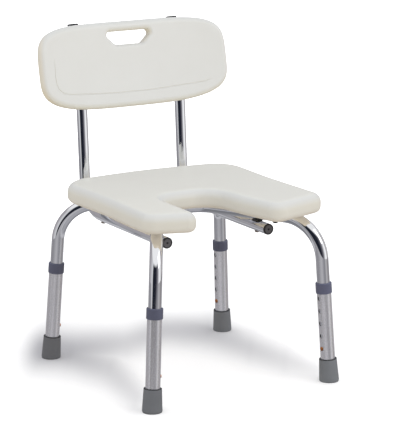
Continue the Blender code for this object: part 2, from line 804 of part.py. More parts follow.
def fastener_profile(radius, length, head_radius, head_height):
    """A round-headed bolt or screw: its head's seat at z = 0 and its shank up to length."""
    crown = head_height / 3
    return [
        (0, length),
        (radius, length),
        (radius, 0),
        (head_radius, 0),
        (head_radius, crown - head_height),
        (head_radius - crown, -head_height),
        (0, -head_height),
    ]


def build_bolts(parent):
    """Bolts up through post, arch and seat, and shorter ones through an arch and its saddle."""
    shank_top = insert_foot() + BOLT_IN_SEAT
    groups = (
        ("frame_bolt", crossings(), POST_RUN_Z - POST_RADIUS - GAP),
        ("seat_bolt", saddle_points(), ARCH_Z - LEG_TUBE_RADIUS - GAP),
    )
    for prefix, points, seat_z in groups:
        profile = fastener_profile(
            BOLT_RADIUS, shank_top - seat_z, BOLT_HEAD_RADIUS, BOLT_HEAD_HEIGHT
        )
        for label, point in points.items():
            bolt = turned(f"{prefix}_{label}", profile, HOLE_SIDES)
            bolt.location = at_height(point, seat_z)
            finish(bolt, f"{prefix}_{label}", "bolt_steel", parent)


# The backrest


def panel_matrix():
    """Puts a panel drawn in x and y, facing +Z, in its leaning place."""
    turn = Matrix((Vector((1, 0, 0)), PANEL_UP, PANEL_NORMAL)).transposed().to_4x4()
    return Matrix.Translation(panel_centre()) @ turn


def back_screws(side):
    """The points of a post's axis that its two backrest screws pass through, by name."""
    return {"lower": post_point(side, LOWER_SCREW_W), "upper": post_point(side, UPPER_SCREW_W)}


def screw_length():
    return 2 * POST_RADIUS + 2 * GAP + SCREW_IN_PANEL


def build_backrest(parent):
    outline = inset(panel_outline(), PANEL_EDGE_RADIUS)
    half = PANEL_THICKNESS / 2
    panel = slab("backrest_panel", outline, half, PANEL_EDGE_RADIUS, EDGE_BEVEL_RESOLUTION)
    bend_forward(panel)
    panel.matrix_local = panel_matrix()
    finish(panel, "backrest_panel", "back_plastic", parent)

    # Hollow, with walls round the posts' channels and columns for the inserts
    swell = PANEL_EDGE_RADIUS - PANEL_EDGE_WALL
    hollow = slab("backrest_hollow", outline, half - PANEL_WALL, swell, HOLLOW_BEVEL_RESOLUTION)
    bend_forward(hollow)
    hollow.matrix_local = panel_matrix()
    through = half + PANEL_THICKNESS
    slot = slab("hand_slot", slot_outline(), through, 0, 0)
    slot.matrix_local = panel_matrix()
    slot_wall = slab("hand_slot_wall", inset(slot_outline(), -PANEL_WALL), through, 0, 0)
    slot_wall.matrix_local = panel_matrix()
    channels = []
    walls = []
    columns = []
    holes = []
    for side in SIDES.values():
        low, high = post_point(side, -2 * PANEL_BOTTOM), post_point(side, 2 * PANEL_TOP)
        channels.append(rod("channel", low, high, POST_RADIUS + GAP, 2 * HOLE_SIDES))
        walls.append(rod("wall", low, high, POST_RADIUS + GAP + PANEL_WALL))
        for axis in back_screws(side).values():
            ahead = axis + PANEL_NORMAL * 2 * PANEL_THICKNESS
            columns.append(rod("column", axis, ahead, BACK_COLUMN_RADIUS))
            tip = axis + PANEL_NORMAL * (screw_length() - POST_RADIUS)
            holes.append(rod("hole", axis, tip, SCREW_RADIUS + BOLT_CLEARANCE))
    modify(hollow, "DIFFERENCE", joined("channel_walls", walls), parent)
    modify(hollow, "DIFFERENCE", joined("backrest_columns", columns), parent)
    modify(hollow, "DIFFERENCE", slot_wall, parent)
    modify(panel, "DIFFERENCE", hollow, parent)
    modify(panel, "DIFFERENCE", slot, parent)
    modify(panel, "DIFFERENCE", joined("post_channels", channels), parent)
    modify(panel, "DIFFERENCE", joined("back_screw_holes", holes), parent)
    behind = panel_centre() - PANEL_NORMAL * PANEL_THICKNESS
    modify(panel, "DIFFERENCE", rod("backrest_vent", behind, panel_centre(), VENT_RADIUS), parent)


def build_back_screws(parent):
    """Screws from behind, through each post and into the backrest."""
    facing = PANEL_NORMAL.to_track_quat("Z", "Y").to_matrix().to_4x4()
    profile = fastener_profile(SCREW_RADIUS, screw_length(), SCREW_HEAD_RADIUS, SCREW_HEAD_HEIGHT)
    for side_label, side in SIDES.items():
        for row, axis in back_screws(side).items():
            name = f"backrest_screw_{row}_{side_label}"
            screw = turned(name, profile, HOLE_SIDES)
            head = axis - PANEL_NORMAL * (POST_RADIUS + GAP)
            screw.matrix_local = Matrix.Translation(head) @ facing
            finish(screw, name, "bolt_steel", parent)


# The legs


def build_lower_tube(label, parent):
    profile = [
        (LOWER_BORE_RADIUS, -LOWER_TUBE_TOP),
        (LOWER_TUBE_RADIUS, -LOWER_TUBE_TOP),
        (LOWER_TUBE_RADIUS, -LOWER_TUBE_END),
        (LOWER_BORE_RADIUS, -LOWER_TUBE_END),
    ]
    lower = turned(f"lower_leg_{label}", profile)
    finish(lower, f"lower_leg_{label}", "aluminium", parent)
    holes = []
    for k in range(HOLE_COUNT):
        start = Vector((0, 0, -HOLE_FIRST - k * HOLE_PITCH))
        holes.append(rod("hole", start, start + Vector((2 * LOWER_TUBE_RADIUS, 0, 0)), button_hole()))
    modify(lower, "DIFFERENCE", joined(f"lower_leg_holes_{label}", holes), parent)


def build_collar(label, parent):
    """A ring over the lower tube's top, with a lip that reaches in over its end."""
    lip_radius = LEG_TUBE_RADIUS + SLIDE_CLEARANCE
    bore_radius = LOWER_TUBE_RADIUS + GAP
    profile = [
        (lip_radius, 0),
        (COLLAR_RADIUS - COLLAR_EDGE, 0),
        (COLLAR_RADIUS, -COLLAR_EDGE),
        (COLLAR_RADIUS, COLLAR_EDGE - COLLAR_HEIGHT),
        (COLLAR_RADIUS - COLLAR_EDGE / 2, -COLLAR_HEIGHT),
        (bore_radius, -COLLAR_HEIGHT),
        (bore_radius, -COLLAR_LIP),
        (lip_radius, -COLLAR_LIP),
    ]
    collar = turned(f"leg_collar_{label}", profile)
    finish(collar, f"leg_collar_{label}", "collar_plastic", parent)


def build_foot(label, parent, root):
    """A rubber cup on the tube's end, cut level at the floor, with a washer in its bottom."""
    tilt = math.hypot(SPLAY_X, SPLAY_Y)
    past_floor = AXIS_TO_FLOOR + FOOT_BASE_RADIUS * tilt + CUT_MARGIN
    bore_radius = LOWER_TUBE_RADIUS + GAP
    top = AXIS_TO_FLOOR - FOOT_HEIGHT
    profile = [
        (0, -FOOT_BORE_FLOOR),
        (bore_radius, -FOOT_BORE_FLOOR),
        (bore_radius, -top),
        (FOOT_TOP_RADIUS - FOOT_EDGE / 2, -top),
        (FOOT_TOP_RADIUS, -top - FOOT_EDGE / 2),
        (FOOT_BASE_RADIUS, FOOT_EDGE - AXIS_TO_FLOOR),
        (FOOT_BASE_RADIUS - FOOT_EDGE, -past_floor),
        (0, -past_floor),
    ]
    foot = turned(f"foot_{label}", profile)
    finish(foot, f"foot_{label}", "foot_rubber", parent)
    reach = 2 * FOOT_BASE_RADIUS
    below = leg_top(*LEGS[label]) + leg_down(*LEGS[label]) * AXIS_TO_FLOOR
    low = below + Vector((-reach, -reach, -reach))
    high = below + Vector((reach, reach, 0))
    modify(foot, "DIFFERENCE", block(f"floor_{label}", low, high), root)

    washer = turned(
        f"foot_washer_{label}",
        [
            (WASHER_HOLE_RADIUS, WASHER_THICKNESS + GAP - FOOT_BORE_FLOOR),
            (LOWER_TUBE_RADIUS, WASHER_THICKNESS + GAP - FOOT_BORE_FLOOR),
            (LOWER_TUBE_RADIUS, GAP - FOOT_BORE_FLOOR),
            (WASHER_HOLE_RADIUS, GAP - FOOT_BORE_FLOOR),
        ],
    )
    finish(washer, f"foot_washer_{label}", "spring_steel", parent)


def build_button(label, parent):
    """A domed pin on the spring's end. Its own origin is on the line that it is pressed along."""
    base = SPRING_FACE_X + GAP
    shoulder = BUTTON_TIP_X - BUTTON_DOME
    profile = [(0, BUTTON_TIP_X)]
    for k in range(1, 4):
        angle = k * math.pi / 6
        profile.append((BUTTON_RADIUS * math.sin(angle), shoulder + BUTTON_DOME * math.cos(angle)))
    profile += [
        (BUTTON_RADIUS, base + BUTTON_FLANGE_THICKNESS),
        (BUTTON_FLANGE_RADIUS, base + BUTTON_FLANGE_THICKNESS),
        (BUTTON_FLANGE_RADIUS, base),
        (0, base),
    ]
    button = turned(f"snap_button_{label}", profile, 16)
    turn = Vector((1, 0, 0)).to_track_quat("Z", "Y").to_matrix().to_4x4()
    button.matrix_local = Matrix.Translation((0, 0, -BUTTON_DROP)) @ turn
    finish(button, f"snap_button_{label}", "copper", parent)


def build_spring(label, parent):
    """A V of flat strip: one leg under the button, the other against the tube's far wall."""
    near = SPRING_FACE_X - SPRING_THICKNESS / 2
    bore_flat = LEG_BORE_RADIUS * math.cos(math.pi / BORE_SIDES) - GAP
    far = math.sqrt(bore_flat**2 - (SPRING_WIDTH / 2) ** 2) - SPRING_THICKNESS
    path = [(near, -SPRING_PAD_HALF_LENGTH), (near, SPRING_PAD_HALF_LENGTH)]
    for k in range(7):
        angle = math.pi * k / 6
        path.append(
            (
                SPRING_BOW_RADIUS * math.cos(angle),
                SPRING_BOW_HEIGHT + SPRING_BOW_RADIUS * math.sin(angle),
            )
        )
    path.append((-far, -SPRING_PAD_HALF_LENGTH))
    bm = bmesh.new()
    verts = [bm.verts.new((x, -SPRING_WIDTH / 2, z - BUTTON_DROP)) for x, z in path]
    edges = [bm.edges.new(pair) for pair in zip(verts, verts[1:])]
    swept = bmesh.ops.extrude_edge_only(bm, edges=edges)["geom"]
    moved = [item for item in swept if isinstance(item, bmesh.types.BMVert)]
    bmesh.ops.translate(bm, verts=moved, vec=(0, SPRING_WIDTH, 0))
    spring = mesh_object(f"button_spring_{label}", bm)
    thick = spring.modifiers.new("strip", "SOLIDIFY")
    thick.thickness = SPRING_THICKNESS
    thick.offset = 0
    thick.use_even_offset = True
    finish(spring, f"button_spring_{label}", "spring_steel", parent)


def build_legs(root):
    for label, (side, end) in LEGS.items():
        axis = bpy.data.objects.new(f"leg_axis_{label}", None)
        PARTS.objects.link(axis)
        axis.parent = root
        axis.matrix_local = leg_matrix(side, end)
        build_lower_tube(label, axis)
        build_collar(label, axis)
        build_foot(label, axis, root)
        build_button(label, axis)
        build_spring(label, axis)


def main():
    root = bpy.data.objects.new("chair_root", None)
    root.location = (0, SEAT_CENTRE_Y, 0)
    PARTS.objects.link(root)
    build_seat(root)
    build_inserts(root)
    build_arches(root)
    build_posts(root)
    build_saddles(root)
    build_bolts(root)
    build_backrest(root)
    build_back_screws(root)
    build_legs(root)


main()
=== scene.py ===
"""The looks of a bath seat with a backrest and four height-adjustable legs.

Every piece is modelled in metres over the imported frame: +Z up, the chair faces -Y, the floor at z = 0.
Left and right are as seen from the front, so the right side is +X.
"""

import json
import math
from contextlib import contextmanager

import bmesh
import bpy
from mathutils import Matrix, Vector

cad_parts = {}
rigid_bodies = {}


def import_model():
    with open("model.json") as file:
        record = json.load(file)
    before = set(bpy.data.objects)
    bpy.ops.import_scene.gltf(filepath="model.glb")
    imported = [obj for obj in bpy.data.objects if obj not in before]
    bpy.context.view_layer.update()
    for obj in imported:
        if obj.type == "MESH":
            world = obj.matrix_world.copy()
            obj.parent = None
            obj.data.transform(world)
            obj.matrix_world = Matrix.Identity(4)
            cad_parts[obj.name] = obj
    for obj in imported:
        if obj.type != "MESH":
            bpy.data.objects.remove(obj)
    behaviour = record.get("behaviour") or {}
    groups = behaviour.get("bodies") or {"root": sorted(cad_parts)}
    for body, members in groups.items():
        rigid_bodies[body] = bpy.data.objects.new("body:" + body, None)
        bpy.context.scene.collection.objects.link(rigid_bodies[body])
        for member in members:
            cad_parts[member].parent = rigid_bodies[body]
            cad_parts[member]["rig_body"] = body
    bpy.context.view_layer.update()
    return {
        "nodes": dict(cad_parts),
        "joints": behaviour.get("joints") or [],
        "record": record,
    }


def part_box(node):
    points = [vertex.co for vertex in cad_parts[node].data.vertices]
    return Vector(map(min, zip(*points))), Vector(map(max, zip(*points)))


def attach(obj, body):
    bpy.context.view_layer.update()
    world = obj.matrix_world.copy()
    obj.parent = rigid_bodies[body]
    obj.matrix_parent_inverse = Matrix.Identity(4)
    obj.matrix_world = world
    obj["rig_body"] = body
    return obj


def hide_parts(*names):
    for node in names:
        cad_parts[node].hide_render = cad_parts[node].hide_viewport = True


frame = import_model()

bl_info = {
    "name": "Bath Seat",
    "version": (1, 0, 0),
    "blender": (4, 5, 0),
    "location": "3D View > Sidebar > Bath Seat",
    "description": "Models the mouldings, tubes and fittings of a bath seat, and its studio",
    "category": "Object",
}

NODES = frame["nodes"]
JOINTS = {joint["name"]: joint for joint in frame["joints"]}
MOUNTS = {mount["name"]: Vector(mount["pos_m"]) for mount in frame["record"]["mounts"]}
SIDES = {"left": -1, "right": 1}
ENDS = {"front": -1, "rear": 1}
LEGS = {f"{end}_{side}": (SIDES[side], ENDS[end]) for end in ENDS for side in SIDES}
GAP = 0.0003  # between two pieces that touch
MARGIN = 0.002  # how far a cutter runs past the faces that it opens
TINY = 1e-6  # doubles lie closer together than this
SLIVER = 1e-5  # and what a Boolean leaves behind, closer than this

# The chair's own middle, which the seat, arches and posts are drawn about
CHAIR_Y = -0.028

# Seat
SEAT_TOP_Z = 0.3745
SEAT_UNDERSIDE_Z = 0.3354
SEAT_REAR = (0.1992, 0.7)  # y, and the radius of the crowned edge
SEAT_REAR_CORNER = (0.2015, 0.177, 0.066)
SEAT_WAIST = (0.1945, 0.5)
SEAT_FRONT_CORNER = (0.1990, -0.1858, 0.030)
SEAT_FRONT_SLOPE = 0.327
CUTOUT_SIDES = (-0.0965, 0.0285)
CUTOUT_REAR = (-0.038, 0.047)
CUTOUT_FLARE = (0.035, -0.125, 0.0125, 0.080)  # reach, y, start, radius
LOBE_TIPS = (0.020, 0.026)
SADDLE_POCKET = (0.0113, 0.0113, 0.0023)  # half width, half length, depth
SADDLE_TRIM = 0.24  # what a saddle between tubes loses on every side, as a share
INSERT_HOLE = (0.0054, 0.0166)  # radius, and depth above the underside
VENT = (0.003, 0.150)  # radius, y

# Leg tubes
LEG_TUBE = (0.0127, 0.0012)  # radius, wall
ARCH_Z = 0.3224
COLLAR_Z = 0.1995
LEG_AT_COLLAR = {-1: (0.1884, -0.2010), 1: (0.1922, 0.1999)}
SPLAY = (0.0561, 0.0420)
LEG_BEND = 0.0807
RUN_HEADING = {-1: math.radians(29.2), 1: math.radians(54.2)}
RUN_APEX = {-1: (0.040, 0.060), 1: (0.105, 0.090)}
LEG_TUBE_END = 0.1521  # below the collar's top

# Back posts
POST_X = 0.1138
POST_TUBE = (0.0111, 0.0014)
POST_RUN_Z = 0.2974
POST_FRONT_Y = -0.1149
POST_BEND = 0.070
POST_FOOT_LEAN = 0.067
POST_KINK = (0.2331, 0.500, 0.150)
BACK_LEAN = math.radians(12.24)
POST_TOP_Z = 0.670
CAP_FLANGE = 0.0028
PIP_HOLE = (0.0023, 0.0060)
BACK_SCREW_ROWS = (-0.0495, 0.0475)

# Backrest
PANEL_CENTRE_Z = 0.5754
PANEL_SIZE = (0.2142, 0.0946, 0.0800)  # half width, top, bottom
PANEL_POWERS = (4.5, 3.6)
PANEL_THICKNESS = 0.0255
PANEL_BOW = 0.50
CHANNEL_DEPTH = 0.0084
HAND_SLOT = ((0.0743, 0.0598, 0.0070), (0.0470, 0.0302, 0.0125))  # y, half width, radius
GROOVE = (  # across and up the panel, from its middle
    (-0.1820, 0.0293), (-0.1834, 0.0067), (-0.1837, -0.0132), (-0.1802, -0.0295),
    (-0.1710, -0.0391), (-0.1571, -0.0442), (-0.1297, -0.0464), (-0.0565, -0.0499),
    (-0.0104, -0.0502), (0.0368, -0.0503), (0.1032, -0.0470), (0.1531, -0.0443),
    (0.1644, -0.0423), (0.1732, -0.0394),
)

GROOVE_TAPER = 14  # points over which each end of the groove thins out

# Bolts and screws: shank radius, head radius, head height
BOLT = (0.0030, 0.0055, 0.0035)
SCREW = (0.0022, 0.0042, 0.0024)
SCREW_LENGTH = 0.0338
BOLT_HOLE = 0.0034
SCREW_HOLE = (0.0026, 0.0116)  # radius, and how far it goes into the backrest
THREAD = (0.0010, 0.013)  # pitch, threaded length

# What polished metal shows, painted into the world as (heading from the chair's front, sRGB): the
# room, and below it the floor close by
EDGE, DARK, LIT, PALE = (168, 165, 169), (32, 36, 46), (255, 255, 255), (170, 169, 173)
ROOM = (
    (-180, EDGE), (-140, EDGE), (-110, (200, 199, 202)), (-84, (225, 226, 228)), (-74, DARK),
    (-26, DARK), (4, (120, 118, 126)), (34, LIT), (62, LIT), (72, (140, 132, 132)),
    (84, (168, 162, 164)), (96, LIT), (110, EDGE), (180, EDGE),
)
FLOOR = (
    (-180, (172, 171, 174)), (-118, (144, 143, 148)), (-95, (154, 153, 157)),
    (-58, (180, 179, 183)), (-40, (186, 185, 188)), (-24, (168, 167, 172)), (0, (142, 142, 147)),
    (14, (146, 145, 149)), (30, (190, 189, 191)), (50, (176, 174, 176)), (74, (136, 131, 132)),
    (92, (164, 163, 167)), (180, PALE),
)
# painted shade: the floor under the chair, darker where the chair's shadow lies, as polished metal sees
# it
UNDER_CHAIR = (
    (-180, (150, 150, 154)), (-120, (126, 127, 131)), (-60, (128, 129, 134)),
    (-38, (170, 170, 175)), (40, (174, 174, 179)), (90, (140, 140, 145)),
    (180, (150, 150, 154)),
)
GLARE = (198, 198, 202)  # a bright strip of floor between the two
CEILING = (0.5, 0.62)  # how steeply a ray rises where the walls give way to the white ceiling
HORIZON = (-0.165, -0.145)  # how steeply a ray falls where the floor gives way to the room
STRIP = (-0.42, -0.38)  # where the floor gives way to the strip
SHADED = (-0.54, -0.49)  # and the strip to what lies under the chair

# The camera's heading from the chair's front, and its height above the target
VIEW = (math.radians(-29.96), math.radians(13.02))
CAMERA_DISTANCE = 4.5
CAMERA_LENS = 191.16  # focal length in mm, for a frame 36 mm wide
CAMERA_SHIFT = (0.0270, -0.0014)
AIM_Z = 0.318

# The painted soft shadow between the feet, as two paths across and down the picture. Each point
# has its place, the depth there and the half width.
SHADOW_PATHS = (
    (
        (-0.286, -0.027, 0.60, 0.031), (-0.230, -0.023, 0.55, 0.031),
        (-0.116, -0.037, 0.37, 0.025), (-0.036, -0.058, 0.45, 0.024), (0.056, -0.055, 0.49, 0.028),
        (0.141, -0.028, 0.40, 0.024), (0.208, -0.008, 0.31, 0.021), (0.286, 0.013, 0.16, 0.011),
    ),
    (
        (-0.225, -0.019, 0.52, 0.029), (-0.147, 0.005, 0.39, 0.027),
        (-0.087, 0.046, 0.30, 0.020),
    ),
)

# Legs that slide, measured down from the collar's top
COLLAR_TO_FLOOR = 0.19999
LOWER_TUBE = (0.0143, 0.0130, 0.0023, 0.18989)  # radius, bore, top, end
HOLES = (0.0043, 0.0305, 0.0254, 5)  # radius, first, pitch, count
BUTTON_DROP = 0.1321
BUTTON = (0.0040, 0.0165, 0.0016)  # radius, how far out its tip stands, height of its dome
BUTTON_FLANGE = (0.0045, 0.0099, 0.0093)  # radius, and its two faces
FOOT_HEIGHT = 0.046
FOOT_TOP = COLLAR_TO_FLOOR - FOOT_HEIGHT
FOOT_BORE = 0.19199  # where the foot's socket ends


def linear(channel):
    """One 0 to 255 sRGB channel as scene-linear light."""
    share = channel / 255
    return share / 12.92 if share <= 0.04045 else ((share + 0.055) / 1.055) ** 2.4


def srgb(red, green, blue):
    return tuple(linear(channel) for channel in (red, green, blue))


# Settings that a user would change


def size(name, description, default):
    return bpy.props.FloatProperty(
        name=name, description=description, default=default, min=0.0, unit="LENGTH", precision=4
    )


def colour(name, description, default):
    return bpy.props.FloatVectorProperty(
        name=name, description=description, default=default, min=0.0, max=1.0,
        size=3, subtype="COLOR",
    )


def amount(name, description, default):
    return bpy.props.FloatProperty(
        name=name, description=description, default=default, min=0.0, subtype="FACTOR"
    )


class MouldingSettings(bpy.types.PropertyGroup):
    seat_colour: colour("Seat colour", "Colour of the seat moulding", srgb(220, 220, 215))
    back_colour: colour("Back colour", "Colour of the backrest moulding", srgb(221, 223, 223))
    seat_top_edge: size("Seat top edge", "Radius of the seat's upper edge", 0.0185)
    seat_under_edge: size("Seat lower edge", "Radius of the seat's lower edge", 0.0125)
    back_edge: size("Back edge", "Radius of the backrest's edge", 0.0115)
    slot_edge: size("Slot edge", "Radius of the hand slot's rims", 0.0082)
    groove_radius: size("Groove radius", "Radius of the tool that cuts the groove", 0.0014)
    grain: amount("Grain", "Height of the moulded grain, as a share of full relief", 0.35)


class TubeSettings(bpy.types.PropertyGroup):
    chrome_colour: colour("Chrome colour", "Tint of the plated tubes", srgb(236, 237, 240))
    chrome_roughness: amount("Chrome roughness", "Blur of the plating's reflections", 0.05)
    satin_colour: colour("Satin colour", "Tint of the sliding legs", srgb(243, 243, 248))
    satin_metal: amount("Satin metal", "How mirror-like the sliding legs are", 0.85)
    satin_roughness: amount("Satin roughness", "Blur of the sliding legs' reflections", 0.20)


class FittingSettings(bpy.types.PropertyGroup):
    collar_colour: colour("Collar colour", "Colour of the leg collars", srgb(84, 88, 112))
    foot_colour: colour("Foot colour", "Colour of the rubber feet", (0.135, 0.1426, 0.166))
    cap_colour: colour("Cap colour", "Colour of the tube caps", srgb(92, 92, 100))
    saddle_colour: colour("Saddle colour", "Colour of the saddles", srgb(30, 29, 33))
    bolt_colour: colour("Bolt colour", "Tint of bolts and screws", srgb(184, 170, 158))
    button_colour: colour("Button colour", "Tint of the height buttons", srgb(196, 132, 88))


class StudioSettings(bpy.types.PropertyGroup):
    key_power: amount("Key light", "Power of the soft light at the front right, in watts", 10.5)
    sky: amount("Sky", "Strength of the light from all round", 1.04)
    bounce_colour: colour("Floor bounce", "Tint of the light that the floor sends up", (0.62, 0.53, 0.39))
    # shadow sets the depth of the painted shadow on the floor
    shadow: amount("Shadow", "Depth of the soft shadow that joins the feet", 1.0)


# Modelling helpers


def deselect():
    bpy.ops.object.select_all(action="DESELECT")


def only(obj):
    deselect()
    obj.select_set(True)
    bpy.context.view_layer.objects.active = obj
    return obj


@contextmanager
def editing(obj):
    """Edit mode on this object alone, with all of it selected."""
    only(obj)
    bpy.ops.object.mode_set(mode="EDIT")
    bpy.ops.mesh.select_mode(type="VERT")
    bpy.ops.mesh.select_all(action="SELECT")
    yield
    bpy.ops.object.mode_set(mode="OBJECT")


def pick(kind, test):
    """In edit mode, selects just the verts or edges that pass the test."""
    bpy.ops.mesh.select_mode(type={"verts": "VERT", "edges": "EDGE"}[kind])
    bpy.ops.mesh.select_all(action="DESELECT")
    mesh = bpy.context.edit_object.data
    items = bmesh.from_edit_mesh(mesh)
    found = 0
    for item in getattr(items, kind):
        if test(item):
            item.select_set(True)
            found += 1
    bmesh.update_edit_mesh(mesh)
    return found


def new_piece(name):
    """The object that a primitive operator has just added, with its place in its mesh."""
    obj = bpy.context.object
    obj.name = obj.data.name = name
    bpy.ops.object.transform_apply(location=True, rotation=True, scale=True)
    return obj


def facing(direction):
    return Vector(direction).to_track_quat("Z", "Y")


def point_outward():
    """In edit mode, merges doubles and turns every face outward."""
    bpy.ops.mesh.select_all(action="SELECT")
    bpy.ops.mesh.remove_doubles(threshold=TINY)
    bpy.ops.mesh.normals_make_consistent(inside=False)


def turned(name, profile, steps=64):
    """A shape turned about Z from (radius, z) points. One that doesn't start on the axis is a ring."""
    deselect()
    ring = profile[0][0] > 0
    start = 0 if ring else 1
    radius, z = profile[start]
    fill = "NOTHING" if ring else "TRIFAN"
    bpy.ops.mesh.primitive_circle_add(
        vertices=steps, radius=radius, location=(0, 0, z), fill_type=fill
    )
    obj = new_piece(name)
    with editing(obj):
        if not ring:
            pick("verts", lambda vert: vert.co.xy.length < TINY)
            bpy.ops.transform.translate(value=(0, 0, profile[0][1] - z))
            pick("edges", lambda edge: edge.is_boundary)
        for next_radius, next_z in [*profile[start + 1 :], *(profile[:1] if ring else [])]:
            bpy.ops.mesh.extrude_edges_move(TRANSFORM_OT_translate={"value": (0, 0, next_z - z)})
            share = next_radius / radius
            bpy.ops.transform.resize(value=(share, share, 1), center_override=(0, 0, next_z))
            radius, z = next_radius, next_z
        point_outward()
    return obj


def bent_tube(name, corners, radii, radius):
    """An open tube: a circle extruded along each straight and spun round each bend."""
    step = math.radians(3)
    deselect()
    ahead = (corners[1] - corners[0]).normalized()
    bpy.ops.mesh.primitive_circle_add(
        vertices=48, radius=radius, location=corners[0],
        rotation=facing(ahead).to_euler(), fill_type="NOTHING",
    )
    obj = new_piece(name)
    here = corners[0].copy()
    with editing(obj):
        for i in range(1, len(corners)):
            onward = (corners[i] - corners[i - 1]).normalized()
            last = i == len(corners) - 1
            leaving = onward if last else (corners[i + 1] - corners[i]).normalized()
            turn = onward.angle(leaving) if not last else 0
            reach = radii[i] * math.tan(turn / 2)
            target = corners[i] - onward * reach
            bpy.ops.mesh.extrude_edges_move(TRANSFORM_OT_translate={"value": target - here})
            if turn > TINY:
                axis = onward.cross(leaving).normalized()
                centre = target + axis.cross(onward) * radii[i]
                bpy.ops.mesh.spin(
                    steps=max(2, math.ceil(turn / step)), angle=-turn, center=centre, axis=axis,
                    use_auto_merge=False,
                )
            here = corners[i] + leaving * reach
        point_outward()
    return obj


def modify(obj, kind, **values):
    """Adds a modifier, sets its values and applies it."""
    only(obj)
    modifier = obj.modifiers.new(kind.title(), kind)
    for name, value in values.items():
        setattr(modifier, name, value)
    bpy.ops.object.modifier_apply(modifier=modifier.name)
    return obj


def wall(obj, thickness):
    """Gives an open shell a wall inside its skin."""
    return modify(obj, "SOLIDIFY", thickness=thickness, offset=-1, use_rim=True)


def cut(obj, *cutters):
    """Cuts with each closed cutter, and takes the cutters away."""
    for cutter in cutters:
        modify(obj, "BOOLEAN", operation="DIFFERENCE", object=cutter, solver="EXACT")
        bpy.data.objects.remove(cutter)
    return obj


def bolt_hole(node, z):
    """A cutter through the tube or saddle at height z, in line with the node."""
    x, y, _ = centre_of(node)
    reach = 0.03
    return rod((x, y, z - reach), (x, y, z + reach), BOLT_HOLE)


def rod(start, end, radius, sides=32):
    """A round cutter between two points."""
    deselect()
    start, end = Vector(start), Vector(end)
    bpy.ops.mesh.primitive_cylinder_add(
        vertices=sides, radius=radius, depth=(end - start).length, location=(start + end) / 2,
        rotation=facing(end - start).to_euler(),
    )
    return new_piece("cutter")


def block(name, low, high):
    deselect()
    low, high = Vector(low), Vector(high)
    bpy.ops.mesh.primitive_cube_add(size=1, location=(low + high) / 2, scale=high - low)
    return new_piece(name)


def joined(objects):
    deselect()
    for obj in objects:
        obj.select_set(True)
    bpy.context.view_layer.objects.active = objects[0]
    bpy.ops.object.join()
    return objects[0]


def tidied(obj):
    """Merges doubles and drops slivers that a Boolean leaves."""
    with editing(obj):
        bpy.ops.mesh.remove_doubles(threshold=SLIVER)
        bpy.ops.mesh.dissolve_degenerate(threshold=SLIVER)
    return obj


def smoothed(obj, angle=35):
    only(obj)
    bpy.ops.object.shade_smooth_by_angle(angle=math.radians(angle))
    return modify(obj, "WEIGHTED_NORMAL", mode="FACE_AREA", weight=60, keep_sharp=True)


def keep_as_made(obj):
    """Stores where each point was before the piece was placed, for patterns that follow it."""
    stored = obj.data.attributes.new("as_made", "FLOAT_VECTOR", "POINT")
    for value, vert in zip(stored.data, obj.data.vertices):
        value.vector = vert.co
    return obj


def copied(obj, name, place):
    """A copy with its own mesh, put in its place."""
    twin = obj.copy()
    twin.data = obj.data.copy()
    twin.name = twin.data.name = name
    bpy.context.scene.collection.objects.link(twin)
    twin.data.transform(place)
    return twin


def dress(obj, finish, node):
    """Gives a piece its material and the body of the node that it stands for, and hides that node."""
    obj.data.materials.clear()
    obj.data.materials.append(finish)
    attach(obj, NODES[node]["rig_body"])
    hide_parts(node)
    return obj


def place_copies(master, finish, rows):
    """Puts a dressed copy in each place, given as (name, place, node), and drops the master."""
    for name, place, node in rows:
        dress(copied(master, name, place), finish, node)
    bpy.data.objects.remove(master)


def place_on_legs(master, finish, name, node):
    place_copies(master, finish, [(f"{name}_{leg}", leg_place(leg), f"{node}_{leg}") for leg in LEGS])


def centre_of(node):
    low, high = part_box(node)
    return (low + high) / 2


# Outlines and routes


def rounded(corners, step):
    """A closed outline of (x, y, radius) corners, each turned into an arc."""
    places = [Vector((x, y, 0)) for x, y, _ in corners]
    points = []
    for i, corner in enumerate(places):
        back = (places[i - 1] - corner).normalized()
        ahead = (places[(i + 1) % len(places)] - corner).normalized()
        turn = math.pi - back.angle(ahead)
        radius = corners[i][2]
        start = corner + back * radius * math.tan(turn / 2)
        centre = corner + (back + ahead).normalized() * radius / math.cos(turn / 2)
        arm = (start - centre) / radius
        steps = max(2, math.ceil(turn / step))
        for k in range(steps + 1):
            angle = turn * k / steps
            points.append(centre + (arm * math.cos(angle) - back * math.sin(angle)) * radius)
    return points


def seat_outline():
    rear_x, rear_y, rear_radius = SEAT_REAR_CORNER
    front_x, front_y, front_radius = SEAT_FRONT_CORNER
    waist, waist_radius = SEAT_WAIST
    wall_left, wall_right = CUTOUT_SIDES
    inner_y, inner_radius = CUTOUT_REAR
    reach, flare_y, flare_start, flare_radius = CUTOUT_FLARE
    tip_right = wall_right + reach
    side = [
        (rear_x, rear_y, rear_radius),
        (waist, 0, waist_radius),
        (front_x, front_y, front_radius),
    ]
    corners = [
        (0, *SEAT_REAR),
        *side,
        (tip_right, front_y - SEAT_FRONT_SLOPE * (front_x - tip_right), LOBE_TIPS[1]),
        (wall_right + flare_start, flare_y, flare_radius),
        (wall_right, inner_y, inner_radius),
        (wall_left, inner_y, inner_radius),
        (wall_left, front_y - SEAT_FRONT_SLOPE * (front_x + wall_left), LOBE_TIPS[0]),
        *((-x, y, radius) for x, y, radius in reversed(side)),
    ]
    return rounded(corners, math.radians(5))


def panel_outline():
    """Two half superellipses that share one width."""
    half_width, top, bottom = PANEL_SIZE
    count = 128
    points = []
    for k in range(count):
        angle = math.pi / 2 - 2 * math.pi * (k + 0.5) / count
        across, up = math.cos(angle), math.sin(angle)
        power = PANEL_POWERS[0] if up > 0 else PANEL_POWERS[1]
        height = top if up > 0 else bottom
        x = math.copysign(abs(across) ** (2 / power), across) * half_width
        y = math.copysign(abs(up) ** (2 / power), up) * height
        points.append(Vector((x, y, 0)))
    return points


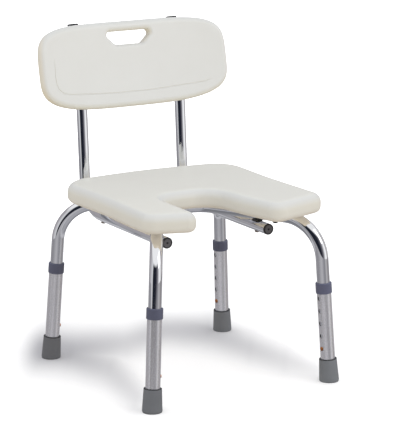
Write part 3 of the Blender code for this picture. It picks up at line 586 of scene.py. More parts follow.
def slot_outline():
    (top_y, top_half, top_radius), (low_y, low_half, low_radius) = HAND_SLOT
    corners = [
        (-top_half, top_y, top_radius),
        (top_half, top_y, top_radius),
        (low_half, low_y, low_radius),
        (-low_half, low_y, low_radius),
    ]
    return rounded(corners, math.radians(9))


def widened(outline, distance):
    """A clockwise outline moved outward by the distance."""
    moved = []
    for i, point in enumerate(outline):
        along = (outline[(i + 1) % len(outline)] - outline[i - 1]).normalized()
        moved.append(point + Vector((-along.y, along.x, 0)) * distance)
    return moved


def leg_down(side, end):
    return Vector((side * SPLAY[0], end * SPLAY[1], -1)).normalized()


def arch_corners(end):
    """The corners of one tube, from the left upper leg to the right one, in the world."""
    apex_y = RUN_APEX[end][0]
    sides = []
    for side in (-1, 1):
        x, y = LEG_AT_COLLAR[end]
        top = Vector((side * x, y, COLLAR_Z))
        down = leg_down(side, end)
        bend = top + down * (ARCH_Z - COLLAR_Z) / down.z
        heading = RUN_HEADING[end]
        along = Vector((-side * math.sin(heading), -end * math.cos(heading), 0))
        apex = bend + along * (apex_y - bend.y) / along.y
        sides.append([top + down * LEG_TUBE_END, bend, apex])
    corners = sides[0] + sides[1][::-1]
    return [corner + Vector((0, CHAIR_Y, 0)) for corner in corners]


def post_axis_y(z):
    return POST_KINK[0] + (z - POST_KINK[1]) * math.tan(BACK_LEAN)


def post_corners(side):
    flange = (CAP_FLANGE + GAP) * math.cos(BACK_LEAN)
    top_z = POST_TOP_Z - flange
    x = side * POST_X
    foot_y = POST_KINK[0] - (POST_KINK[1] - POST_RUN_Z) * POST_FOOT_LEAN
    corners = [
        (x, POST_FRONT_Y, POST_RUN_Z),
        (x, foot_y, POST_RUN_Z),
        (x, POST_KINK[0], POST_KINK[1]),
        (x, post_axis_y(top_z), top_z),
    ]
    return [Vector(corner) + Vector((0, CHAIR_Y, 0)) for corner in corners]


PANEL_NORMAL = Vector((0, -math.cos(BACK_LEAN), math.sin(BACK_LEAN)))
PANEL_UP = Vector((0, math.sin(BACK_LEAN), math.cos(BACK_LEAN)))


def post_behind_panel():
    """How far a post's axis lies behind the panel's middle plane."""
    free = POST_TUBE[0] + GAP + PANEL_THICKNESS / 2 - CHANNEL_DEPTH
    return free - PANEL_BOW * POST_X**2


def panel_place():
    """Puts a panel drawn in x and y, facing +Z, in its leaning place."""
    axis = Vector((0, post_axis_y(PANEL_CENTRE_Z) + CHAIR_Y, PANEL_CENTRE_Z))
    turn = Matrix((Vector((1, 0, 0)), PANEL_UP, PANEL_NORMAL)).transposed().to_4x4()
    return Matrix.Translation(axis + PANEL_NORMAL * post_behind_panel()) @ turn


def post_point(side, w):
    """The point of a post's axis behind height w of the backrest."""
    axis = Vector((side * POST_X, post_axis_y(PANEL_CENTRE_Z) + CHAIR_Y, PANEL_CENTRE_Z))
    return axis + PANEL_UP * w


def arch_tube(name, end, radius):
    apex_radius = RUN_APEX[end][1]
    bends = [0, LEG_BEND, apex_radius, apex_radius, LEG_BEND, 0]
    return bent_tube(name, arch_corners(end), bends, radius)


def post_tube(name, side, radius):
    return bent_tube(name, post_corners(side), [0, POST_BEND, POST_KINK[2], 0], radius)


def leg_place(leg):
    """Origin at the collar's top, +Z up the leg and +X out of the button."""
    up = -Vector(JOINTS[f"{leg}_height"]["axis"])
    out = -Vector(JOINTS[f"{leg}_button"]["axis"])
    turn = Matrix((out, up.cross(out), up)).transposed().to_4x4()
    return Matrix.Translation(MOUNTS[f"foot_{leg}"] + up * COLLAR_TO_FLOOR) @ turn


# Node groups that several finishes share


def feed(tree, socket, value):
    """Links a socket to another one, or sets its value."""
    if isinstance(value, bpy.types.NodeSocket):
        tree.links.new(value, socket)
    else:
        socket.default_value = value


def add(tree, kind, links=None, **values):
    """A new node with its settings, and links or values for its sockets."""
    node = tree.nodes.new(f"ShaderNode{kind}")
    for name, value in values.items():
        setattr(node, name, value)
    for name, value in (links or {}).items():
        feed(tree, node.inputs[name], value)
    return node


def noise(tree, vector, scale, detail=2.0, roughness=0.5):
    links = {"Vector": vector, "Scale": scale, "Detail": detail, "Roughness": roughness}
    return add(tree, "TexNoise", links).outputs["Fac"]


def maths(tree, operation, first, second=0.0, third=0.0):
    links = {0: first, 1: second, 2: third}
    return add(tree, "Math", links, operation=operation).outputs[0]


def vectors(tree, operation, first, second=(0, 0, 0)):
    """Vector maths. A length, a distance or a dot product comes out as a number."""
    node = add(tree, "VectorMath", {0: first, 1: second}, operation=operation)
    return node.outputs["Value" if operation in ("LENGTH", "DISTANCE", "DOT_PRODUCT") else "Vector"]


def parts(tree, vector):
    return add(tree, "SeparateXYZ", {0: vector}).outputs


def spread(tree, value, low, high, to_low=0.0, to_high=1.0):
    links = {
        "Value": value, "From Min": low, "From Max": high, "To Min": to_low, "To Max": to_high,
    }
    return add(tree, "MapRange", links).outputs["Result"]


def mixed(tree, share, first, second, blend="MIX"):
    links = {0: share, 6: first, 7: second}
    return add(tree, "Mix", links, data_type="RGBA", blend_type=blend).outputs[2]


def new_group(name, inputs, output, kind):
    """An empty shader group and its two ends. An input's default gives its kind, None a vector."""
    group = bpy.data.node_groups.new(name, "ShaderNodeTree")
    for label, default in inputs.items():
        given = {type(None): "Vector", tuple: "Color", float: "Float"}[type(default)]
        socket = group.interface.new_socket(label, in_out="INPUT", socket_type=f"NodeSocket{given}")
        if default is not None:
            socket.default_value = default
    group.interface.new_socket(output, in_out="OUTPUT", socket_type=f"NodeSocket{kind}")
    entry = group.nodes.new("NodeGroupInput")
    leave = group.nodes.new("NodeGroupOutput")
    return group, entry.outputs, leave.inputs[0]


def tinted_plastic(name):
    """A colour that turns to a shade of it in slow clouds and fine specks."""
    inputs = {
        "Vector": None, "Colour": (0.8, 0.8, 0.8, 1), "Shade": (0.7, 0.7, 0.7, 1),
        "Cloud size": 14.0, "Cloud": 0.2,
    }
    group, given, made = new_group(name, inputs, "Colour", "Color")
    clouds = noise(group, given["Vector"], given["Cloud size"], 3.0, 0.55)
    share = maths(group, "MULTIPLY", spread(group, clouds, 0.35, 0.7), given["Cloud"])
    specks = noise(group, given["Vector"], 900.0, 1.0)
    share = maths(group, "ADD", share, spread(group, specks, 0.62, 0.8, 0.0, 0.12))
    feed(group, made, mixed(group, share, given["Colour"], given["Shade"]))
    return group


def moulded_relief(name):
    """Heights in metres: a fine grain and the slow waves of a moulded face."""
    inputs = {
        "Vector": None, "Grain size": 700.0, "Grain height": 0.00002, "Wave size": 9.0,
        "Wave height": 0.0002,
    }
    group, given, made = new_group(name, inputs, "Height", "Float")
    grain = noise(group, given["Vector"], given["Grain size"], 2.0, 0.6)
    waves = noise(group, given["Vector"], given["Wave size"], 1.0, 0.4)
    grain = maths(group, "MULTIPLY", grain, given["Grain height"])
    waves = maths(group, "MULTIPLY", waves, given["Wave height"])
    feed(group, made, maths(group, "ADD", grain, waves))
    return group


def uneven_gloss(name):
    """A roughness that smears, handling and fine wear break up."""
    inputs = {"Vector": None, "Roughness": 0.4, "Change": 0.08, "Patch size": 30.0}
    group, given, made = new_group(name, inputs, "Roughness", "Float")
    patches = noise(group, given["Vector"], given["Patch size"], 4.0, 0.6)
    change = maths(group, "MULTIPLY", maths(group, "SUBTRACT", patches, 0.5), given["Change"])
    feed(group, made, maths(group, "ADD", given["Roughness"], change))
    return group


def drawn_streaks(name):
    """Fine lines along a drawn tube, from 0 to 1."""
    group, given, made = new_group(name, {"Vector": None, "Fineness": 900.0}, "Streaks", "Float")
    stretch = add(group, "Mapping", {"Vector": given["Vector"], "Scale": (1, 1, 0.02)})
    feed(group, made, noise(group, stretch.outputs[0], given["Fineness"], 3.0, 0.7))
    return group


def soft_band(name):
    """How deep a painted soft shadow lies over the floor near the line between two points."""
    inputs = {
        "Vector": None, "From point": None, "To point": None, "From depth": 0.3, "To depth": 0.3,
        "From width": 0.05, "To width": 0.05,
    }
    group, given, made = new_group(name, inputs, "Depth", "Float")
    along = vectors(group, "SUBTRACT", given["To point"], given["From point"])
    reach = vectors(group, "SUBTRACT", given["Vector"], given["From point"])
    covered = vectors(group, "DOT_PRODUCT", reach, along)
    whole = vectors(group, "DOT_PRODUCT", along, along)
    share = spread(group, maths(group, "DIVIDE", covered, whole), 0.0, 1.0)
    away = vectors(group, "DISTANCE", reach, vectors(group, "MULTIPLY", along, share))
    width = spread(group, share, 0.0, 1.0, given["From width"], given["To width"])
    depth = spread(group, share, 0.0, 1.0, given["From depth"], given["To depth"])
    fall = maths(group, "POWER", maths(group, "DIVIDE", away, width), 2.0)
    feed(group, made, maths(group, "MULTIPLY", depth, maths(group, "POWER", 0.5, fall)))
    return group


def use(tree, maker, **values):
    """What a shared group gives, with this material's own values. It is made when first used."""
    name = maker.__name__.replace("_", " ").capitalize()
    node = add(tree, "Group", node_tree=bpy.data.node_groups.get(name) or maker(name))
    for label, value in values.items():
        feed(tree, node.inputs[label.replace("_", " ").capitalize()], value)
    return node.outputs[0]


# Finishes


def object_place(tree):
    return add(tree, "TexCoord").outputs["Object"]


def as_made_place(tree):
    return add(tree, "Attribute", attribute_name="as_made").outputs["Vector"]


def from_axis(tree):
    """How far a place was from the z axis when its piece was made."""
    return vectors(tree, "LENGTH", vectors(tree, "MULTIPLY", as_made_place(tree), (1, 1, 0)))


def face_way(tree):
    """The three parts of the way that a face looks, each from -1 to 1."""
    return parts(tree, add(tree, "TexCoord").outputs["Normal"])


def toward_front_right(tree, start, full):
    """How far a place lies toward the front right leg, from 0 at the start to 1, for painted light on the
    pieces nearest the key lamp.
    """
    return spread(tree, vectors(tree, "DOT_PRODUCT", object_place(tree), (1, -1, 0)), start, full)


def darker(tint, share, warm=0.0):
    red, green, blue = tint
    return (red * share * (1 + warm), green * share, blue * share * (1 - warm))


def layered(name, tint, shade, metallic, where_of, relief, clouds, gloss):
    """A finish of three layers: a clouded colour, an uneven gloss and a relief."""
    made = bpy.data.materials.new(name)
    made.use_nodes = True
    tree = made.node_tree
    shader = tree.nodes["Principled BSDF"].inputs
    shader["Metallic"].default_value = metallic
    where = where_of(tree)
    colours = {"colour": (*tint, 1), "shade": (*shade, 1), **clouds}
    feed(tree, shader["Base Color"], use(tree, tinted_plastic, vector=where, **colours))
    feed(tree, shader["Roughness"], use(tree, uneven_gloss, vector=where, **gloss))
    bump = add(tree, "Bump", {"Height": relief(tree, where), "Distance": 1.0})
    feed(tree, shader["Normal"], bump.outputs["Normal"])
    return made


def moulded(**sizes):
    """What makes a moulded relief of these sizes in a finish's tree."""
    return lambda tree, where: use(tree, moulded_relief, vector=where, **sizes)


def recoloured(made, share, shade, blend="MIX"):
    """Mixes a shade into a finish's colour, by a mask."""
    tree = made.node_tree
    socket = tree.nodes["Principled BSDF"].inputs["Base Color"]
    before = socket.links[0].from_socket
    feed(tree, socket, mixed(tree, share, before, (*shade, 1), blend))


def plastic(name, tint, shade, roughness, grain_height, wave_height=0.0, cloud=0.25):
    return layered(
        name, tint, shade, 0.0, object_place,
        moulded(grain_height=grain_height, wave_height=wave_height),
        {"cloud": cloud}, {"roughness": roughness},
    )


def moulding(name, tint, grain):
    """The pale plastic of the seat and the backrest."""
    shade = darker(tint, 0.93, 0.01)
    return plastic(name, tint, shade, 0.42, 0.00006 * grain, wave_height=0.0006)


def chrome_finish(settings):
    """The plating, which several pieces share."""
    name = "Plated tube"
    tint = tuple(settings.chrome_colour)
    return bpy.data.materials.get(name) or layered(
        name, tint, darker(tint, 0.9), 1.0, object_place,
        moulded(grain_size=500.0, grain_height=0.0000008, wave_size=12.0, wave_height=0.000012),
        {"cloud_size": 22.0, "cloud": 0.5},
        {"roughness": settings.chrome_roughness, "change": 0.04, "patch_size": 60.0},
    )


def satin_finish(settings):
    """Drawn metal with fine streaks along the leg, and painted shade, near black, inside the bore and on
    the holes' walls.
    """

    def streaks(tree, where):
        return use(tree, drawn_streaks, vector=where, fineness=1100.0)

    tint = tuple(settings.satin_colour)
    made = layered(
        "Satin tube", tint, darker(tint, 0.8), settings.satin_metal, as_made_place,
        lambda tree, where: maths(tree, "MULTIPLY", streaks(tree, where), 0.000012),
        {"cloud_size": 420.0, "cloud": 0.5},
        {"roughness": settings.satin_roughness, "change": 0.12, "patch_size": 80.0},
    )
    tree = made.node_tree
    lines = spread(tree, streaks(tree, as_made_place(tree)), 0.4, 0.62)
    recoloured(made, lines, (0.9, 0.9, 0.9), "MULTIPLY")
    # painted shade: faces inside the bore and the holes are made near black
    outer = LOWER_TUBE[0]
    inside = spread(tree, from_axis(tree), outer - 0.0006, outer - 0.0003, 1.0, 0.0)
    recoloured(made, inside, (0.03, 0.03, 0.03))
    return made


def metal_finish(name, tint, roughness, grain_height=0.00001):
    """Small metal fittings, a little darker in patches."""
    return layered(
        name, tint, darker(tint, 0.6), 1.0, object_place,
        moulded(grain_size=900.0, grain_height=grain_height, wave_height=0.0),
        {"cloud_size": 250.0, "cloud": 0.6},
        {"roughness": roughness, "change": 0.2, "patch_size": 300.0},
    )


# Operators, one for each piece or group of like pieces


class BATHSEAT_OT_seat(bpy.types.Operator):
    """Model the seat moulding with its cut-out, saddle pockets and insert holes"""

    bl_idname = "bathseat.seat"
    bl_label = "Seat"

    def execute(self, context):
        settings = context.scene.bath_seat_mouldings
        outline = [point + Vector((0, CHAIR_Y, SEAT_UNDERSIDE_Z)) for point in seat_outline()]
        seat = plate("seat_moulding", outline, SEAT_TOP_Z - SEAT_UNDERSIDE_Z)
        round_rim(seat, SEAT_TOP_Z, settings.seat_top_edge, 7)
        round_rim(seat, SEAT_UNDERSIDE_Z, settings.seat_under_edge, 5)
        low = SEAT_UNDERSIDE_Z - MARGIN
        cutters = []
        reach_x, reach_y, depth = SADDLE_POCKET
        for side in SIDES:
            x, y, _ = centre_of(f"seat_saddle_{side}")
            high = (x + reach_x, y + reach_y, SEAT_UNDERSIDE_Z + depth)
            pocket = block("pocket", (x - reach_x, y - reach_y, low), high)
            cutters.append(modify(pocket, "BEVEL", width=0.002, segments=3, limit_method="ANGLE"))
        for node in (node for node in NODES if node.startswith("seat_insert")):
            x, y, _ = centre_of(node)
            roof = SEAT_UNDERSIDE_Z + INSERT_HOLE[1]
            cutters.append(rod((x, y, low), (x, y, roof), INSERT_HOLE[0]))
        vent_y = VENT[1] + CHAIR_Y
        middle = (SEAT_UNDERSIDE_Z + SEAT_TOP_Z) / 2
        cutters.append(rod((0, vent_y, low), (0, vent_y, middle), VENT[0]))
        smoothed(tidied(cut(seat, *cutters)))
        finish = moulding("Seat moulding", tuple(settings.seat_colour), settings.grain)
        tree = finish.node_tree
        up = face_way(tree)["Z"]
        # painted shade: faces on the rounded upper edge, turned half up, are made greyer and cooler
        rim_painted_shade = maths(tree, "MINIMUM", spread(tree, up, 0.15, 0.65), spread(tree, up, 1.0, 0.85))
        recoloured(finish, rim_painted_shade, (0.925, 0.94, 0.985), "MULTIPLY")
        # painted light: faces that look down are made lighter and bluer
        recoloured(finish, spread(tree, up, 0.1, -0.8), (1.14, 1.15, 1.23), "MULTIPLY")
        dress(seat, finish, "seat_panel")
        return {"FINISHED"}


def plate(name, outline, height):
    """A flat face on the outline, extruded upward."""
    return lofted(name, [outline, [point + Vector((0, 0, height)) for point in outline]])


def lofted(name, rings):
    """A face on the first ring, extruded from each ring to the next. All have as many points."""

    def spot(point):
        return tuple(round(n, 6) for n in point)

    deselect()
    bpy.ops.mesh.primitive_circle_add(vertices=len(rings[0]), radius=1, fill_type="NGON")
    obj = new_piece(name)
    with editing(obj):
        mesh = bmesh.from_edit_mesh(obj.data)
        for vert, place in zip(mesh.verts, rings[0]):
            vert.co = place
        bmesh.update_edit_mesh(obj.data)
        for before, ring in zip(rings, rings[1:]):
            bpy.ops.mesh.extrude_region_move()
            mesh = bmesh.from_edit_mesh(obj.data)
            order = {spot(point): k for k, point in enumerate(before)}
            for vert in [vert for vert in mesh.verts if vert.select]:
                vert.co = ring[order[spot(vert.co)]]
            bmesh.update_edit_mesh(obj.data)
        point_outward()
    return obj


def slot_cutter(radius):
    """The hand slot as a solid that flares out at both faces, so that it leaves round rims."""
    steps = 6
    straight = PANEL_THICKNESS / 2 - radius
    flare = []
    for k in range(steps + 1):
        angle = k * math.pi / 2 / steps
        flare.append((straight + radius * math.sin(angle), radius * (1 - math.cos(angle))))
    flare.append((PANEL_THICKNESS, radius))
    levels = [(-z, outward) for z, outward in reversed(flare)] + flare
    outline = slot_outline()
    rings = []
    for z, outward in levels:
        rings.append([point + Vector((0, 0, z)) for point in widened(outline, outward)])
    return lofted("slot", rings)


def round_rim(obj, z, radius, segments):
    """Rounds the edges that lie at height z between a face and the side wall."""
    with editing(obj):
        found = pick(
            "edges",
            lambda edge: all(abs(vert.co.z - z) < SLIVER for vert in edge.verts)
            and edge.is_manifold
            and edge.calc_face_angle() > 1,
        )
        if not found:
            raise RuntimeError(f"{obj.name} has no rim at {z:.4f}")
        bpy.ops.mesh.bevel(
            offset=radius, segments=segments, profile=0.5, clamp_overlap=False, affect="EDGES"
        )


class BATHSEAT_OT_backrest(bpy.types.Operator):
    """Model the bowed backrest with its hand slot, groove and post channels"""

    bl_idname = "bathseat.backrest"
    bl_label = "Backrest"

    def execute(self, context):
        settings = context.scene.bath_seat_mouldings
        half = PANEL_THICKNESS / 2
        outline = [point - Vector((0, 0, half)) for point in panel_outline()]
        back = plate("backrest_moulding", outline, PANEL_THICKNESS)
        round_rim(back, half, settings.back_edge, 7)
        round_rim(back, -half, settings.back_edge, 7)
        cut(back, slot_cutter(settings.slot_edge))
        bow(back, 48)
        cut(back, groove_cutter(settings.groove_radius))
        back.data.transform(panel_place())
        cutters = []
        for side in SIDES.values():
            low, high = post_point(side, -0.2), post_point(side, 0.2)
            cutters.append(rod(low, high, POST_TUBE[0] + GAP, 48))
            for w in BACK_SCREW_ROWS:
                start = post_point(side, w)
                end = start + PANEL_NORMAL * (POST_TUBE[0] + SCREW_HOLE[1])
                cutters.append(rod(start, end, SCREW_HOLE[0]))
        smoothed(tidied(cut(back, *cutters)), 40)
        finish = moulding("Backrest moulding", tuple(settings.back_colour), settings.grain)
        tree = finish.node_tree
        way = face_way(tree)
        # painted light and shade by the way a face looks: up-facing rims greyer, down-facing rims
        # lighter, left-facing rims warmer and darker
        for axis, start, full, painted_tone in (
            ("Z", 0.35, 0.85, (0.89, 0.885, 0.875)),
            ("Z", 0.15, -0.75, (1.1, 1.07, 0.98)),
            ("X", -0.3, -0.85, (1.03, 0.98, 0.90)),
        ):
            recoloured(finish, spread(tree, way[axis], start, full), painted_tone, "MULTIPLY")
        dress(back, finish, "backrest_panel")
        return {"FINISHED"}


def bow(obj, strips):
    """Cuts the flat panel into strips across x, and bows it towards the sitter."""
    half_width = PANEL_SIZE[0]
    with editing(obj):
        for k in range(1, strips):
            bpy.ops.mesh.select_all(action="SELECT")
            x = half_width * (2 * k / strips - 1)
            bpy.ops.mesh.bisect(plane_co=(x, 0, 0), plane_no=(1, 0, 0), threshold=TINY)
        mesh = bmesh.from_edit_mesh(obj.data)
        for vert in mesh.verts:
            vert.co.z += PANEL_BOW * vert.co.x**2
        bmesh.update_edit_mesh(obj.data)


def smooth_route(points, steps):
    """A smooth curve through (x, y) points, with this many steps between each two."""
    places = [Vector(point) for point in points]
    places = [2 * places[0] - places[1], *places, 2 * places[-1] - places[-2]]
    route = []
    for a, b, c, d in zip(places, places[1:], places[2:], places[3:]):
        for k in range(steps):
            t = k / steps
            bend = (2 * a - 5 * b + 4 * c - d) * t * t + (3 * b - a - 3 * c + d) * t**3
            route.append(b + ((c - a) * t + bend) / 2)
    return [*route, places[-2]]


def groove_cutter(radius):
    """A thin rod along the groove on the front face, thinner towards its ends."""
    curve = bpy.data.curves.new("groove", "CURVE")
    curve.dimensions = "3D"
    curve.bevel_depth = 1.0
    curve.bevel_resolution = 3
    curve.use_fill_caps = True
    route = smooth_route(GROOVE, 8)
    spline = curve.splines.new("POLY")
    spline.points.add(len(route) - 1)
    front = PANEL_THICKNESS / 2 + 0.0003  # its axis lies just in front of the face
    for i, (point, (x, w)) in enumerate(zip(spline.points, route)):
        point.co = (x, w, front + PANEL_BOW * x * x, 1)
        from_end = min(i, len(route) - 1 - i)
        point.radius = radius * min(1, 0.35 + from_end / GROOVE_TAPER)
    obj = bpy.data.objects.new("groove", curve)
    bpy.context.scene.collection.objects.link(obj)
    only(obj)
    bpy.ops.object.convert(target="MESH")
    with editing(obj):
        point_outward()
    return obj


class BATHSEAT_OT_leg_tubes(bpy.types.Operator):
    """Bend the two tubes that carry the seat and end in the four upper legs"""

    bl_idname = "bathseat.leg_tubes"
    bl_label = "Leg tubes"

    def execute(self, context):
        finish = chrome_finish(context.scene.bath_seat_tubes)
        radius, thickness = LEG_TUBE
        for label, end in ENDS.items():
            tube = wall(arch_tube(f"{label}_leg_tube", end, radius), thickness)
            cutters = []
            for side in SIDES:
                bolts = [f"frame_bolt_{label}_{side}"]
                bolts += [f"seat_bolt_{side}"] if end < 0 else []
                cutters += [bolt_hole(bolt, ARCH_Z) for bolt in bolts]
                place = leg_place(f"{label}_{side}")
                button = place @ Vector((0, 0, -BUTTON_DROP))
                outward = place @ Vector((0.03, 0, -BUTTON_DROP))
                cutters.append(rod(button, outward, HOLES[0]))
            smoothed(cut(tube, *cutters))
            dress(tube, finish, f"{label}_leg_arch")
        return {"FINISHED"}


class BATHSEAT_OT_back_posts(bpy.types.Operator):
    """Bend the two posts that pass under the seat and carry the backrest"""

    bl_idname = "bathseat.back_posts"
    bl_label = "Back posts"

    def execute(self, context):
        finish = chrome_finish(context.scene.bath_seat_tubes)
        radius, thickness = POST_TUBE
        across = PANEL_NORMAL * 2 * radius
        for label, side in SIDES.items():
            tube = wall(post_tube(f"post_tube_{label}", side, radius), thickness)
            cutters = [bolt_hole(f"frame_bolt_{end}_{label}", POST_RUN_Z) for end in ENDS]
            for w in BACK_SCREW_ROWS:
                start = post_point(side, w)
                cutters.append(rod(start - across, start + across, SCREW_HOLE[0]))
            pip = post_corners(side)[-1] - PANEL_UP * PIP_HOLE[1]
            cutters.append(rod(pip, pip + across, PIP_HOLE[0]))
            smoothed(cut(tube, *cutters))
            dress(tube, finish, f"back_post_{label}")
        return {"FINISHED"}


class BATHSEAT_OT_tube_caps(bpy.types.Operator):
    """Turn the round caps in both ends of each post"""

    bl_idname = "bathseat.tube_caps"
    bl_label = "Tube caps"

    def execute(self, context):
        settings = context.scene.bath_seat_fittings
        tint = tuple(settings.cap_colour)
        finish = self.cap_finish(tint)
        radius = POST_TUBE[0]
        bore = radius - POST_TUBE[1] - 2 * GAP
        profile = [
            (0, -0.0004), (0.0007, -0.0004), (0.0010, -0.0014), (0.0019, -0.0014),
            (0.0022, -0.0007), (0.0078, -0.0007), (0.0083, -0.0003), (0.0088, 0),
            (radius - 0.0010, 0), (radius - 0.0003, -0.0003), (radius, -0.0010),
            (radius, -0.0024), (radius - 0.0004, -CAP_FLANGE), (bore, -CAP_FLANGE),
            (bore, -0.0134), (bore - 0.0012, -0.0148), (0, -0.0148),
        ]
        cap = keep_as_made(smoothed(turned("cap", profile), 30))
        rows = []
        for label, side in SIDES.items():
            front = Vector((side * POST_X, POST_FRONT_Y - CAP_FLANGE - GAP + CHAIR_Y, POST_RUN_Z))
            top = Vector((side * POST_X, post_axis_y(POST_TOP_Z) + CHAIR_Y, POST_TOP_Z))
            for kind, face, outward in (("front", front, (0, -1, 0)), ("top", top, PANEL_UP)):
                place = Matrix.Translation(face) @ facing(outward).to_matrix().to_4x4()
                rows.append((f"{kind}_cap_{label}", place, f"post_{kind}_plug_{label}"))
        place_copies(cap, finish, rows)
        return {"FINISHED"}

    def cap_finish(self, tint):
        """One plastic, painted in light and shade: near black on the rounded rim and in the dimple, and
        paler on the face that takes the light.
        """
        made = plastic("Tube cap", tint, darker(tint, 0.8), 0.5, 0.00003)
        tree = made.node_tree
        away = from_axis(tree)
        # painted dark reflection on the rounded rim, and painted shade in the dimple
        rim = spread(tree, away, 0.0080, 0.0086)
        dimple = spread(tree, away, 0.0020, 0.0023, 1.0, 0.0)
        recoloured(made, maths(tree, "MAXIMUM", rim, dimple), darker(tint, 0.12))
        return made


class BATHSEAT_OT_saddles(bpy.types.Operator):
    """Model the plastic saddles between crossing tubes, and between tube and seat"""

    bl_idname = "bathseat.saddles"
    bl_label = "Saddles"

    def execute(self, context):
        settings = context.scene.bath_seat_fittings
        tint = tuple(settings.saddle_colour)
        finish = plastic("Saddle", tint, darker(tint, 1.6), 0.45, 0.00003)
        for leg, (side, end) in LEGS.items():
            node = f"tube_saddle_{leg}"
            self.saddle(f"tube_cradle_{leg}", node, end, side, finish)
        for label in SIDES:
            self.saddle(f"seat_cradle_{label}", f"seat_saddle_{label}", -1, None, finish)
        return {"FINISHED"}

    def saddle(self, name, node, end, post_side, finish):
        """A block the size of the node, rounded, and hollowed to the tubes that it lies on."""
        low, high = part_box(node)
        trim = (high - low) / 2 * (SADDLE_TRIM if post_side else 0)
        piece = block(name, low + trim, high - trim)
        modify(piece, "BEVEL", width=0.0012, segments=3, limit_method="ANGLE")
        cutters = [arch_tube("arch", end, LEG_TUBE[0] + GAP)]
        if post_side:
            cutters.append(post_tube("post", post_side, POST_TUBE[0] + GAP))
        for cutter in cutters:
            cap_ends(cutter)
        cutters.append(bolt_hole(node, centre_of(node).z))
        smoothed(tidied(cut(piece, *cutters)), 30)
        dress(piece, finish, node)


def cap_ends(tube):
    """Closes an open tube with a face over each end."""
    with editing(tube):
        pick("edges", lambda edge: edge.is_boundary)
        bpy.ops.mesh.edge_face_add()
        point_outward()


class BATHSEAT_OT_fasteners(bpy.types.Operator):
    """Turn the bolts of the frame and seat, and the backrest's screws"""

    bl_idname = "bathseat.fasteners"
    bl_label = "Fasteners"

    def execute(self, context):
        settings = context.scene.bath_seat_fittings
        finish = metal_finish("Bolt steel", tuple(settings.bolt_colour), 0.42)
        black = metal_finish("Blackened bolt", tuple(settings.saddle_colour), 0.5)
        for node_prefix, prefix, labels, look in (
            ("frame_bolt_", "crossing_bolt_", list(LEGS), finish),
            ("seat_bolt_", "short_bolt_", list(SIDES), black),
        ):
            low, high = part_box(node_prefix + labels[0])
            bolt = fastener(BOLT, high.z - low.z - BOLT[2], 6)
            rows = []
            for label in labels:
                x, y, _ = centre_of(node_prefix + label)
                head_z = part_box(node_prefix + label)[0].z + BOLT[2]
                place = Matrix.Translation((x, y, head_z))
                rows.append((prefix + label, place, node_prefix + label))
            place_copies(bolt, look, rows)
        self.back_screws(finish)
        return {"FINISHED"}

    def back_screws(self, finish):
        screw = fastener(SCREW, SCREW_LENGTH, 4)
        turn = facing(PANEL_NORMAL).to_matrix().to_4x4()
        rows = []
        for label, side in SIDES.items():
            for row, w in zip(("lower", "upper"), BACK_SCREW_ROWS):
                seat = post_point(side, w) - PANEL_NORMAL * (POST_TUBE[0] + GAP)
                place = Matrix.Translation(seat) @ turn
                rows.append((f"back_screw_{row}_{label}", place, f"backrest_screw_{row}_{label}"))
        place_copies(screw, finish, rows)


def fastener(sizes, length, socket_sides):
    """A bolt that stands on z = 0: domed head below with a socket, threaded shank above."""
    radius, head_radius, head = sizes
    profile = [(0, length), (radius * 0.7, length), (radius, length - radius * 0.4)]
    pitch, threaded = THREAD
    turns = int(threaded / pitch)
    top = length - radius * 0.5
    for k in range(turns):
        z = top - k * pitch
        profile += [(radius, z - 0.15 * pitch), (radius * 0.88, z - 0.6 * pitch)]
    profile += [(radius, top - turns * pitch), (radius, 0), (head_radius, 0)]
    rise = head * 0.25
    profile.append((head_radius, -rise))
    for k in range(1, 6):
        angle = k * math.pi / 12
        reach = head_radius * math.cos(angle)
        profile.append((reach, -rise - (head - rise) * math.sin(angle)))
    profile += [(head_radius * 0.12, -head), (0, -head)]
    bolt = turned("bolt", profile, 32)
    socket = rod((0, 0, -head - MARGIN), (0, 0, -head * 0.35), head_radius * 0.45, socket_sides)
    return smoothed(tidied(cut(bolt, socket)), 30)


class BATHSEAT_OT_sliding_legs(bpy.types.Operator):
    """Turn the lower legs and drill their row of height holes"""

    bl_idname = "bathseat.sliding_legs"
    bl_label = "Sliding legs"

    def execute(self, context):
        finish = satin_finish(context.scene.bath_seat_tubes)
        radius, bore, top, end = LOWER_TUBE
        edge = 0.0003
        profile = [
            (bore, -top), (radius - edge, -top), (radius, -top - edge), (radius, edge - end),
            (radius - edge, -end), (bore, -end),
        ]
        leg = turned("leg", profile)
        hole_radius, first, pitch, count = HOLES
        drills = []
        for k in range(count):
            z = -first - k * pitch
            drills.append(rod((0, 0, z), (0.03, 0, z), hole_radius))
        keep_as_made(smoothed(cut(leg, joined(drills)), 30))
        place_on_legs(leg, finish, "sliding_leg", "lower_leg")
        return {"FINISHED"}


class BATHSEAT_OT_collars(bpy.types.Operator):
    """Turn the plastic collars on the tops of the sliding legs"""

    bl_idname = "bathseat.collars"
    bl_label = "Collars"

    def execute(self, context):
        settings = context.scene.bath_seat_fittings
        tint = tuple(settings.collar_colour)
        finish = plastic("Collar", tint, darker(tint, 0.7), 0.42, 0.00004)
        # painted light: collars toward the front right, nearest the key lamp, are made lighter
        painted_light_share = toward_front_right(finish.node_tree, 0.04, 0.4)
        recoloured(finish, painted_light_share, (1.22, 1.22, 1.24), "MULTIPLY")
        profile = [
            (0.0130, 0), (0.0133, 0), (0.0148, 0), (0.0154, -0.0003), (0.0160, -0.0012),
            (0.0160, -0.0196), (0.0157, -0.0206), (0.0150, -0.0210), (0.0146, -0.0210),
            (0.0146, -0.0020), (0.0130, -0.0020),
        ]
        collar = keep_as_made(smoothed(turned("collar", profile), 30))
        place_on_legs(collar, finish, "collar", "leg_collar")
        return {"FINISHED"}


